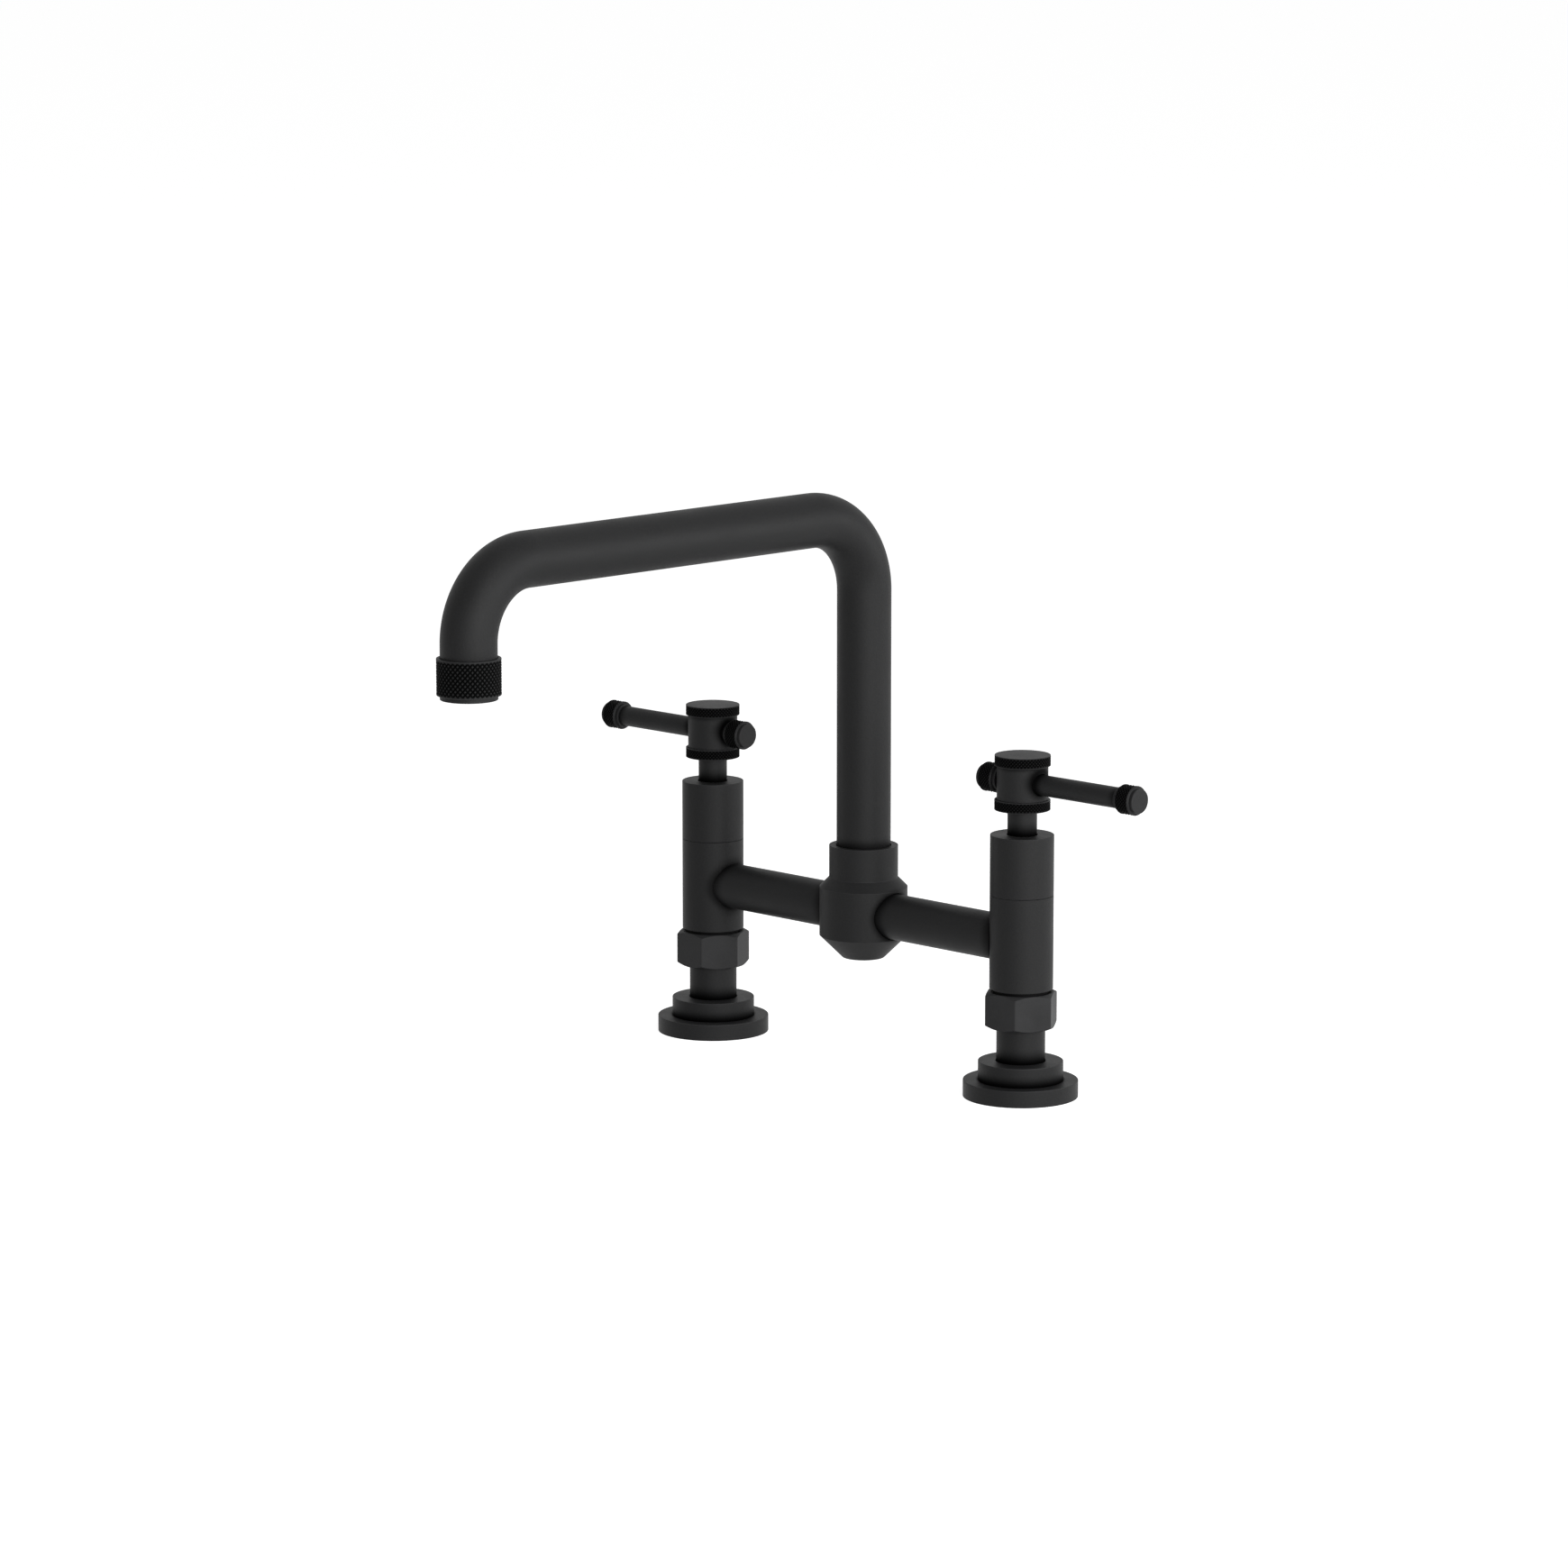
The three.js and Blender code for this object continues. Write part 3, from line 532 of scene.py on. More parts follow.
@dataclass(frozen=True)
class PortedBand:
    """The straight part of a turned body, bent round the holes in its side.

    The band is cut into four quarters. A quarter with a port is a ring of rows between a square border and
    the hole: each row is a mix of the border, in angle and height, and a circle of the hole's radius seen
    from the side.
    """

    ROWS: ClassVar[int] = 7
    """Rows of points round a hole."""
    GATHERING: ClassVar[float] = 1.6
    """Power of the rows' mix, above one to gather them near the hole."""
    RIM_WEAR_AND_HIGHLIGHT: ClassVar[float] = 0.6

    radius: float
    low: float
    high: float
    ports: Sequence[Port]
    per_quarter: int
    """Segments in a quarter."""

    def _on_band(self, angle: Array, height: Array) -> Array:
        """Points on the band at given angles and heights."""
        return oriented(self.radius * np.cos(angle), self.radius * np.sin(angle), height, Spin.UPRIGHT)

    def _border(self) -> tuple[Array, Array]:
        """Angle from the quarter's middle, and height, of the points of a quarter's border."""
        across, up = square_border(self.per_quarter)
        return (across - 0.5) * np.pi / 2, self.low + up * (self.high - self.low)

    def _circle(self, port: Port, radius: float) -> tuple[Array, Array]:
        """Sideways distance and height of the points of a circle round a port's axis."""
        angle = border_directions(self.per_quarter)
        return radius * np.cos(angle), port.height + radius * np.sin(angle)

    def _ring(self, port: Port, radius: float, out: Array | float) -> Array:
        """Draw a circle round a port's axis, and turn it to the port's quarter.

        Args:
            port: The port.
            radius: Radius of the circle.
            out: Distance of its points from the body's axis, along the port's axis.

        Returns:
            One row of points.
        """
        side, height = self._circle(port, radius)
        turn = port.quarter * np.pi / 2
        x = out * np.cos(turn) - side * np.sin(turn)
        y = out * np.sin(turn) + side * np.cos(turn)
        return np.stack(np.broadcast_arrays(x, y, height), axis=-1)

    def _surface_distance(self, side: Array) -> Array:
        """Distance from the axis plane to the band's surface, at a sideways distance."""
        return np.sqrt(self.radius ** 2 - side ** 2)

    def add_to(self, shell: Shell) -> None:
        """Add the band, with its holes, to a shell.

        Args:
            shell: The shell that the band is a part of.
        """
        ports = {port.quarter: port for port in self.ports}
        for quarter in range(4):
            middle = quarter * np.pi / 2
            if quarter in ports:
                self._add_port(shell, ports[quarter], middle)
                continue
            angle = middle + np.linspace(-np.pi / 4, np.pi / 4, self.per_quarter + 1)
            height = np.linspace(self.low, self.high, self.per_quarter + 1)
            shell.add(self._on_band(angle[None, :], height[:, None]))

    def _add_port(self, shell: Shell, port: Port, middle: float) -> None:
        """Add a quarter with a hole: the face round it, its bevelled rim, its wall and its floor.

        Args:
            shell: The shell that the band is a part of.
            port: The hole.
            middle: Angle of the quarter's middle.
        """
        border_angle, border_height = self._border()
        side, height = self._circle(port, port.radius + port.bevel)
        mix = np.linspace(0, 1, self.ROWS)[:, None] ** self.GATHERING
        angle = (1 - mix) * np.arcsin(side / self.radius) + mix * border_angle
        rows = (1 - mix) * height + mix * border_height
        shell.add(self._on_band(middle + angle, rows), round_columns=True)

        wall_side, _ = self._circle(port, port.radius)
        rim = self._ring(port, port.radius + port.bevel, self._surface_distance(side))
        lip = self._ring(port, port.radius, self._surface_distance(wall_side) - port.bevel)
        shell.add(np.stack([rim, lip]), wear_and_highlight=self.RIM_WEAR_AND_HIGHLIGHT, round_columns=True)
        end = self._ring(port, port.radius, port.floor)
        shell.add(np.stack([lip, end]), round_columns=True)
        if port.floor > 0:
            shell.add(np.stack([end, self._ring(port, 0.0, port.floor)]), round_columns=True)


@dataclass(frozen=True)
class PerforatedDisc:
    """A disc about the Z axis, with one hole in the middle and others evenly spaced round it.

    Each face is cut into a round cell in the middle and one cell for each outer hole, which lies between two
    circles and two radii. Places in the plane are complex numbers.
    """

    radius: float
    low: float
    high: float
    hole: float
    ring: float
    """Distance of the outer holes from the middle."""
    count: int
    """Number of outer holes."""
    bevel: float = 0.12
    steps: int = 12
    """Points along each of the four sides of a cell."""
    rows: int = 5
    """Rows of points between a hole and the border of its cell."""

    @property
    def inner(self) -> float:
        """Radius of the round cell in the middle."""
        return self.ring / 2

    @staticmethod
    def _flat(plane: Array, height: Array | float) -> Array:
        """Points at complex places in the plane and at a height."""
        return np.stack(np.broadcast_arrays(plane.real, plane.imag, height), axis=-1)

    def _cell(self) -> tuple[Array, Array, Array]:
        """Draw the cell round the outer hole on the X axis.

        Its rows are a mix of its border and of the hole's circle, from none of the border at the hole to all
        of it.

        Returns:
            The cell's face, the hole's bevelled rim and the hole's wall.
        """
        half = np.pi / self.count
        across, out = square_border(self.steps)
        border = (self.inner + out * (self.radius - self.inner)) * np.exp(1j * (across * 2 - 1) * half)
        angle = border_directions(self.steps)
        circle = np.sin(angle) + 1j * np.cos(angle)
        rim, wall = self.ring + (self.hole + self.bevel) * circle, self.ring + self.hole * circle
        mix = np.linspace(0, 1, self.rows)[:, None]
        return (1 - mix) * rim + mix * border, rim, wall

    def shell(self) -> Shell:
        """Make the closed surface: two faces, the holes' walls and the outer wall.

        Returns:
            The shell, about the Z axis.
        """
        face, rim, wall = self._cell()
        levels = np.array([self.low, self.low + self.bevel, self.high - self.bevel, self.high])[:, None]
        angle = np.linspace(0, 2 * np.pi, self.count * self.steps, endpoint=False) - np.pi / self.count
        around = np.exp(1j * angle)
        turns = np.exp(2j * np.pi * np.arange(self.count) / self.count)
        mouth = self.hole + self.bevel
        reach = np.linspace(mouth, self.inner, self.rows)[:, None] * around
        shell = Shell()
        for height in (self.low, self.high):
            shell.add(self._flat(reach, height), round_columns=True)
            for turn in turns:
                shell.add(self._flat(turn * face, height), round_columns=True)
        for turn in turns:
            shell.add(self._flat(turn * np.stack([rim, wall, wall, rim]), levels), round_columns=True)
        bore = np.array([mouth, self.hole, self.hole, mouth])[:, None] * around
        shell.add(self._flat(bore, levels), round_columns=True)
        outside = np.stack([self.radius * around] * 2)
        return shell.add(self._flat(outside, levels[[0, -1]]), round_columns=True)


# ----------------------------------------------------------------------------------------------------------
# Knurling
# ----------------------------------------------------------------------------------------------------------


@dataclass(frozen=True)
class Knurl:
    """Diamond knurling: two families of V grooves that cross and leave small pyramids."""

    around: int
    """Diamonds round the piece."""
    pitch: float
    """Height of a diamond along the piece's axis."""
    depth: float
    land: float = 0.78
    """Share of a pyramid's height at which its point is cut off."""
    samples: int = 8
    """Points across one diamond."""
    crest: float = 0.35
    # Painted shade on the cut-off points, from 0 for as bright as a smooth face.
    """Groove mark of the cut-off points, from 0 for as bright as a smooth face."""
    fall: float = 3.0
    # Power of the height above the bottom that the painted shade fades with.
    """Power of the height above the bottom that the groove mark falls with."""
    fade: float = 0.25
    """Share of a diamond over which the grooves fade out at both ends of the face."""

    @property
    def segments(self) -> int:
        """Points round the piece, a whole number to each diamond."""
        return self.around * self.samples

    def stations(self, low: float, high: float) -> Array:
        """Heights at which the knurled face is sampled, a whole number to each diamond."""
        count = max(4, round((high - low) / self.pitch * self.samples))
        return np.linspace(low, high, count + 1)

    def sink(self, angle: Array, height: Array, low: float, high: float) -> Array:
        """How far the face lies below the crests.

        The two families of grooves run where the sum, and where the difference, of the diamonds round the
        piece and along it is whole. The height above the grooves grows straight with the distance from them,
        so a point's height is that above the nearer of its two grooves, and the depth fades out at both ends.

        Args:
            angle: Directions in radians.
            height: Heights along the axis.
            low: Lower end of the knurling.
            high: Upper end.

        Returns:
            Depth below the crests at each point.
        """
        turns = angle / (2 * np.pi) * self.around
        rises = (height - (low + high) / 2) / self.pitch
        one = 1 - np.abs(2 * ((turns + rises) % 1.0) - 1)
        other = 1 - np.abs(2 * ((turns - rises) % 1.0) - 1)
        raised = np.minimum(np.minimum(one, other), self.land) / self.land
        run_out = np.clip(np.minimum(height - low, high - height) / (self.fade * self.pitch), 0, 1)
        return self.depth * (1 - raised) * run_out


SAME_PLACE = 1e-6
"""Places closer than this many millimetres count as one."""


def knurled_turned(outline: Outline, radii: float | Sequence[float], face: tuple[float, float],
                   radius: float, knurl: Knurl, spin: Spin = Spin.UPRIGHT,
                   closed: bool = True) -> tuple[Array, Array, Array]:
    """Turn an outline and knurl the straight face that lies between two heights.

    Args:
        outline: Corners as radius and height. The knurled face is one of its straight sides.
        radii: Corner radii, as for rounded.
        face: Lower and upper height of the knurled face, inside the rounded corners.
        radius: Radius of the knurled face.
        knurl: The knurling.
        spin: Axis of the piece.
        closed: Whether the outline closes on itself.

    Returns:
        A grid of points, each point's mark of edges that rub bare and get a painted highlight, and its
        painted shade. The painted shade is 1 at the bottom of the grooves, and falls with a power of the
        height above the bottom to the crest's mark.
    """
    points, wear_and_highlight = rounded(outline, radii, closed=closed)
    low, high = face
    before_face = (np.abs(points[:, 0] - radius) < SAME_PLACE) & (points[:, 1] <= low + SAME_PLACE)
    start = int(np.flatnonzero(before_face)[-1]) + 1
    heights = knurl.stations(low, high)
    inner = np.column_stack([np.full(len(heights), radius), heights])
    rows = np.vstack([points[:start], inner, points[start:]])
    row_wear_and_highlight = np.concatenate([wear_and_highlight[:start], np.zeros(len(heights)), wear_and_highlight[start:]])
    angle = angles(knurl.segments)
    reach = rows[:, :1] + 0 * angle
    on_face = slice(start, start + len(heights))
    sink = knurl.sink(angle[None, :], heights[:, None], low, high)
    reach[on_face] -= sink
    painted_shade = 0 * reach
    # Painted shade: darkest at the bottom of the knurl grooves, lighter towards the crests.
    painted_shade[on_face] = 1 - (1 - knurl.crest) * (1 - sink / knurl.depth) ** knurl.fall
    along = rows[:, 1:] + 0 * angle
    return oriented(reach * np.cos(angle), reach * np.sin(angle), along, spin), row_wear_and_highlight[:, None], painted_shade


# ----------------------------------------------------------------------------------------------------------
# Finishes
# ----------------------------------------------------------------------------------------------------------


class NodeTree:
    """A short way to add and join shader nodes."""

    def __init__(self, tree: bpy.types.NodeTree) -> None:
        """Keep an empty tree."""
        self.tree = tree
        tree.nodes.clear()

    def add(self, kind: str, values: dict[str | int, object] | None = None,
            **settings: object) -> bpy.types.Node:
        """Add a node.

        Args:
            kind: Blender's name for the node type.
            values: Input values by socket name or number. A socket given here is linked.
            settings: Properties of the node.

        Returns:
            The new node.
        """
        node = self.tree.nodes.new(kind)
        for name, value in settings.items():
            setattr(node, name, value)
        for key, value in (values or {}).items():
            if isinstance(value, bpy.types.NodeSocket):
                self.tree.links.new(value, node.inputs[key])
            else:
                node.inputs[key].default_value = value
        return node

    def mix_colours(self, factor: Socket, one: object, other: object) -> Socket:
        """Add a mix of two colours, of which the factor is the second one's share."""
        return self.add("ShaderNodeMix", {0: factor, 6: one, 7: other}, data_type="RGBA").outputs[2]

    def maths(self, operation: str, one: object, other: object, clamp: bool = False) -> Socket:
        """Add a sum, product or greater value of two numbers, kept between 0 and 1 if clamp is set."""
        node = self.add("ShaderNodeMath", {0: one, 1: other}, operation=operation, use_clamp=clamp)
        return node.outputs[0]

    def remap(self, value: Socket, source: tuple[float, float], target: tuple[float, float]) -> Socket:
        """Add a straight ramp that takes the source range to the target range and is level past its ends."""
        ranges = {"From Min": source[0], "From Max": source[1], "To Min": target[0], "To Max": target[1]}
        return self.add("ShaderNodeMapRange", {"Value": value, **ranges}).outputs["Result"]

    def noise(self, place: Socket, scale: float, detail: float, roughness: float) -> Socket:
        """Add a noise over places."""
        values = {"Vector": place, "Scale": scale, "Detail": detail, "Roughness": roughness}
        return self.add("ShaderNodeTexNoise", values).outputs["Fac"]

    def attribute(self, name: str) -> Socket:
        """Add the value of a point attribute."""
        return self.add("ShaderNodeAttribute", attribute_name=name).outputs["Fac"]


@dataclass(frozen=True)
class Grain:
    """Fine relief of a finish, as noise."""

    scale: float
    """Bumps in a metre."""
    height: float
    """Height of the bumps in metres."""
    strength: float


@dataclass(frozen=True)
class Finish:
    """A finish: two shades that drift over the piece, edges lightened where they rub bare and as painted
    highlights, painted shade in knurl grooves and creases where it has them, uneven roughness and fine
    relief.
    """

    PATCH_NOISE: ClassVar[tuple[float, float]] = (4.0, 0.55)
    """Detail and roughness of the noise that makes the patches."""
    GRAIN_NOISE: ClassVar[tuple[float, float]] = (3.0, 0.6)
    """Detail and roughness of the noise that makes the grain."""
    PATCH_RANGE: ClassVar[tuple[float, float]] = (0.3, 0.7)
    """Values of the patches that get the least and the greatest roughness."""
    MOTTLE_RANGE: ClassVar[tuple[float, float]] = (0.35, 0.65)
    """Values of the grain that get no and the full mottle."""
    MOTTLE: ClassVar[tuple[float, float]] = (0.0, 0.6)
    """Least and greatest share of the second shade that the grain adds to that of the patches."""

    name: str
    shade: tuple[float, float, float]
    drift: tuple[float, float, float]
    """Second shade, reached in soft patches."""
    worn_and_highlit: tuple[float, float, float]
    # Colour of edges that rub bare, also used to paint highlights along the edges.
    """Shade of rubbed edges."""
    roughness: tuple[float, float]
    """Roughness of the smoothest and of the roughest patches."""
    grain: Grain
    metallic: float = 0.0
    specular: float = 0.5
    # Share of the edge colour on edges, which is partly wearing and partly a painted highlight.
    worn_and_highlight_share: float = 0.35
    patch_scale: float = 55.0
    painted_shade_colour: tuple[float, float, float] | None = None
    # Colour of the painted shade at the bottom of knurled grooves and in creases, for a finish that has it.
    """Shade at the bottom of knurled grooves and in creases, for a finish that has them."""
    painted_shade_specular: float = 0.0
    """Specular level there."""

    def material(self) -> bpy.types.Material:
        """Make the material, or find it if it is made already.

        Returns:
            The material. Object coordinates drive two noises: broad patches that drift the shade and the
            roughness, and a fine grain that mottles the shade and drives the bump. The edge attribute mixes
            in the lighter edge colour, for edges that rub bare and as a painted highlight, and the
            painted-shade attribute mixes in painted shade in knurl grooves and creases.
        """
        made = bpy.data.materials.get(self.name)
        if made is not None:
            return made
        made = bpy.data.materials.new(self.name)
        made.use_nodes = True
        nodes = NodeTree(made.node_tree)
        place = nodes.add("ShaderNodeTexCoord").outputs["Object"]
        patches = nodes.noise(place, self.patch_scale, *self.PATCH_NOISE)
        speckle = nodes.noise(place, self.grain.scale, *self.GRAIN_NOISE)
        mottle = nodes.remap(speckle, self.MOTTLE_RANGE, self.MOTTLE)
        both = nodes.maths("ADD", mottle, patches, clamp=True)
        shade = nodes.mix_colours(both, (*self.shade, 1), (*self.drift, 1))
        # Edges that rub bare, lightened further as a painted highlight.
        rub_and_highlight = nodes.maths("MULTIPLY", nodes.attribute("wear_and_highlight"), self.worn_and_highlight_share)
        broken_and_highlit = nodes.maths("MULTIPLY", rub_and_highlight, patches)
        colour = nodes.mix_colours(broken_and_highlit, shade, (*self.worn_and_highlit, 1))
        shine: Socket | float = self.specular
        # Painted shade: darker colour and less specular reflection in knurl grooves and creases.
        if self.painted_shade_colour is not None:
            depth = nodes.attribute("painted_shade")
            colour = nodes.mix_colours(depth, colour, (*self.painted_shade_colour, 1))
            shine = nodes.remap(depth, (0.0, 1.0), (self.specular, self.painted_shade_specular))
        bump = nodes.add(
            "ShaderNodeBump",
            {"Height": speckle, "Strength": self.grain.strength, "Distance": self.grain.height},
        )
        surface = nodes.add("ShaderNodeBsdfPrincipled", {
            "Base Color": colour,
            "Roughness": nodes.remap(patches, self.PATCH_RANGE, self.roughness),
            "Normal": bump.outputs["Normal"],
            "Metallic": self.metallic,
            "Specular IOR Level": shine,
        })
        nodes.add("ShaderNodeOutputMaterial", {"Surface": surface.outputs["BSDF"]})
        made.diffuse_color = (*self.shade, 1)
        return made


# The painted-shade colour and specular level darken knurl grooves and creases; the edge colour also paints
# highlights.
MATTE_BLACK = Finish(
    name="matte_black_coating",
    shade=(0.0055, 0.0056, 0.0058),
    drift=(0.0095, 0.0096, 0.0099),
    worn_and_highlit=(0.050, 0.050, 0.052),
    roughness=(0.48, 0.57),
    grain=Grain(scale=1500.0, height=0.00012, strength=0.5),
    specular=0.13,
    worn_and_highlight_share=0.6,
    painted_shade_colour=(0.0005, 0.0005, 0.0005),
    painted_shade_specular=0.003,
)

KNURLED_BLACK = replace(MATTE_BLACK, name="knurled_black_coating")

BRASS = Finish(
    name="turned_brass",
    shade=(0.50, 0.34, 0.12),
    drift=(0.57, 0.41, 0.17),
    worn_and_highlit=(0.75, 0.58, 0.30),
    roughness=(0.24, 0.38),
    grain=Grain(scale=900.0, height=0.00002, strength=0.3),
    metallic=1.0,
)

SCREW_STEEL = Finish(
    name="blackened_steel",
    shade=(0.050, 0.051, 0.054),
    drift=(0.075, 0.076, 0.080),
    worn_and_highlit=(0.22, 0.22, 0.23),
    roughness=(0.28, 0.42),
    grain=Grain(scale=1500.0, height=0.00002, strength=0.3),
    metallic=1.0,
)

RUBBER = Finish(
    name="seal_rubber",
    shade=(0.010, 0.010, 0.010),
    drift=(0.016, 0.016, 0.016),
    worn_and_highlit=(0.030, 0.030, 0.030),
    roughness=(0.72, 0.86),
    grain=Grain(scale=1800.0, height=0.00004, strength=0.35),
)

CERAMIC = Finish(
    name="lapped_ceramic",
    shade=(0.76, 0.74, 0.68),
    drift=(0.82, 0.80, 0.75),
    worn_and_highlit=(0.86, 0.85, 0.82),
    roughness=(0.14, 0.24),
    grain=Grain(scale=2200.0, height=0.00001, strength=0.15),
)

DARK_PLASTIC = Finish(
    name="moulded_plastic",
    shade=(0.030, 0.031, 0.033),
    drift=(0.038, 0.039, 0.042),
    worn_and_highlit=(0.07, 0.07, 0.072),
    roughness=(0.38, 0.5),
    grain=Grain(scale=1400.0, height=0.00003, strength=0.3),
)


class Slot(Enum):
    """Material slots of the record."""

    MATTE_BLACK = "matte_black"
    KNURLED_BLACK = "knurled_black"
    BRASS = "brass"
    STEEL = "steel"
    RUBBER = "rubber"
    CERAMIC = "ceramic"
    PLASTIC = "plastic"


FINISH_OF_SLOT = {
    Slot.MATTE_BLACK: MATTE_BLACK,
    Slot.KNURLED_BLACK: KNURLED_BLACK,
    Slot.BRASS: BRASS,
    Slot.STEEL: SCREW_STEEL,
    Slot.RUBBER: RUBBER,
    Slot.CERAMIC: CERAMIC,
    Slot.PLASTIC: DARK_PLASTIC,
}


# ----------------------------------------------------------------------------------------------------------
# Pieces
# ----------------------------------------------------------------------------------------------------------


def make_piece(shell: Shell, node: str, body: str, coat: Slot) -> None:
    """Turn a shell into a piece that stands for a CAD node.

    Args:
        shell: The finished surface, in place.
        node: CAD node that the piece replaces.
        body: CAD body that it moves with.
        coat: Material slot, which picks the finish.
    """
    mesh = shell.mesh(node)
    piece = bpy.data.objects.new(f"{node}_fine", mesh)
    bpy.context.scene.collection.objects.link(piece)
    mesh.materials.append(FINISH_OF_SLOT[coat].material())
    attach(piece, body)
    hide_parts(node)


@dataclass(frozen=True)
class Detail:
    """Sizes that the turned pieces share."""

    segments: int = 96
    """Points round a turned piece, a multiple of four."""
    edge: float = 0.35
    """Corner radius of edges that show."""
    small_edge: float = 0.2
    """Corner radius of edges at a seam."""
    hidden_edge: float = 0.1
    """Corner radius of edges inside."""
    fit: float = 0.3
    """Clearance between a bore and what it holds."""
    skin: float = 0.2
    """Wall left at the bottom of a blind screw hole."""
    waterway: float = 7.0
    """Radius of the bore that carries water up a column."""


@dataclass(frozen=True)
class SocketScrew:
    """A headless screw along +Y with a hexagon socket in its outer end."""

    across_flats: float = 1.5
    socket_depth: float = 1.3
    socket_corner: float = 0.08
    socket_edge: float = 0.06
    point_chamfer: float = 0.2
    end_chamfer: float = 0.15
    end_wear_and_highlight: float = 0.6
    # Wear and painted highlight of the outer end's chamfer.
    """Wear of the outer end's chamfer."""
    socket_wear_and_highlight: float = 0.4
    # Wear and painted highlight of the socket's edge.
    """Wear of the socket's edge."""
    segments: int = 48

    def shell(self, room: Room, start: float) -> Shell:
        """Make the screw's surface.

        The rings go from the axis at the inner end, round the outside and into the socket, whose wall follows
        a hexagon and whose floor closes on the axis.

        Args:
            room: Box of the screw's node.
            start: Where the screw begins along Y.

        Returns:
            The shell, in place.
        """
        angle = angles(self.segments)
        radius, end = room.radius(0), float(room.high[1])
        socket = hexagon_radius(angle, self.across_flats, self.socket_corner, 0.0)
        floor = end - self.socket_depth
        grid = ringed([
            (0.0, start), (radius - self.point_chamfer, start), (radius, start + self.point_chamfer),
            (radius, end - self.end_chamfer), (radius - self.end_chamfer, end),
            (socket + self.socket_edge, end), (socket, end - self.socket_edge), (socket, floor),
            (0.0, floor - self.point_chamfer),
        ], angle, Spin.FORWARDS)
        grid[..., 0] += room.middle[0]
        grid[..., 2] += room.middle[2]
        wear_and_highlight = np.repeat([0, self.end_wear_and_highlight, self.socket_wear_and_highlight, 0], [3, 2, 2, 2])[:, None]
        return Shell().add(grid, wear_and_highlight, round_columns=True)


@dataclass
class ValveSide:
    """One valve column with its deck flange, union nut and handle.

    Pieces are drawn about the column's own axis, with +X leading away from the spout and +Y to the back, and
    are then moved to the column and mirrored on the left.
    """

    side: Side
    nut_turn: float
    """Direction of one corner of the nut, in degrees."""
    detail: Detail = Detail()
    screw: SocketScrew = SocketScrew()
    neck: float = 11.4
    """Radius of the tailpiece below its collar."""
    neck_shade: CornerShade = CornerShade(along=7.6, across=1.5)
    """Shade at the foot of that neck."""
    gasket_rim: float = 3.6
    """Width of the flange's rim round the gasket."""
    step_radius: float = 19.89
    step_shade: CornerShade = CornerShade(along=5.8, across=1.5)
    flange_thickness: float = 7.87
    nut_wall: float = 2.0
    """Distance from the nut's thread to its flats."""
    nut_segments: int = 240
    """Points round the nut."""
    nut_wear_and_highlight: float = 0.7
    # Wear and painted highlight of the nut's outer edges.
    """Wear of the nut's outer edges."""
    nut_shade: CornerShade = CornerShade(across=1.8)
    """Shade in the mouth of the nut."""
    nut_corner: float = 0.45
    nut_edge: float = 0.16
    nut_chamfer_inset: float = 0.35
    nut_chamfer_slope: float = 0.565
    nut_lip: float = 2.7
    """Height of the nut's bottom, which the tailpiece's collar rests on."""
    foot_gap: float = 1.35
    """Height of the column's foot above the nut."""
    gap_shade_across: float = 1.4
    """How far the shade in that gap reaches sideways."""
    seam: float = 0.2
    # Height of the narrow channel between valve body and bonnet.
    """Height of the groove between valve body and bonnet."""
    spigot_step: float = 1.5
    """Step from the column in to the spigot that enters the bonnet."""
    cavity: float = 9.3
    seat_above: float = 6.8
    """Height of the cartridge's seat above the column's foot."""
    port_radius: float = 8.2
    port_floor: float = 10.6
    """Distance of the side port's floor from the column's axis."""
    port_shade: CornerShade = CornerShade(along=14.86, across=3.5, strength=0.8)
    """Shade round the bridge pipe."""
    bonnet_wall: float = 1.2
    bonnet_roof: float = 4.0
    stem: float = 6.88
    """Radius of the handle's neck."""
    stem_shade: CornerShade = CornerShade(along=7.6)
    """Shade at the foot of the handle's neck."""
    stem_band: float = 4.0
    """Half the height of the part of the neck round its screw."""
    spindle_bore: float = 4.3
    cap_recess: float = 8.3
    cap_shade: CornerShade = CornerShade(along=2.0, strength=0.6)
    """Shade under the cap."""
    lever_shade: CornerShade = CornerShade(across=4.5, strength=0.9)
    """Shade on the hub, round the lever."""
    lever_shade_lift: float = 1.2
    """How far that shade is raised."""
    hub_edge: float = 0.25
    knurled_edge: float = 0.3
    rod_segments: int = 64
    rod_shade: CornerShade = CornerShade(along=5.0, strength=0.85)
    """Shade on the lever, beside the hub."""
    rod_end_shade: CornerShade = CornerShade(along=4.5, strength=0.6)
    """Shade on the lever, beside the long arm's knob."""
    rod_root_edge: float = 0.05
    """Corner radius of the root of the spigots."""
    knob_button: float = 5.72
    knob_button_length: float = 1.6
    knob_bevel: float = 0.57
    button_edge: float = 0.27
    bevel_edge: float = 0.12
    root_edge: float = 0.04
    knob_spigot: float = 3.0
    knob_bore_depth: float = 6.3
    collar_knurl: Knurl = Knurl(around=50, pitch=1.62, depth=0.34)
    knob_knurl: Knurl = Knurl(around=27, pitch=1.58, depth=0.30)

    @property
    def handle_body(self) -> str:
        """CAD body that the handle's pieces ride on."""
        return f"{self.side.label}_handle"

    @property
    def axis(self) -> float:
        """Place of the column's axis along X."""
        return float(self.room("bonnet").middle[0])

    @property
    def lever_hole(self) -> float:
        """Radius of the hole through the hub."""
        return self.room("lever_rod").radius() + self.detail.fit

    @property
    def lever_axis(self) -> tuple[float, float, float]:
        """A point of the lever's axis, in the column's own frame."""
        return 0.0, 0.0, float(self.room("lever_rod").middle[2])

    @property
    def bridge_axis(self) -> tuple[float, float, float]:
        """A point of the bridge pipe's axis, in the column's own frame."""
        return 0.0, 0.0, float(self.room("bridge_pipe").middle[2])

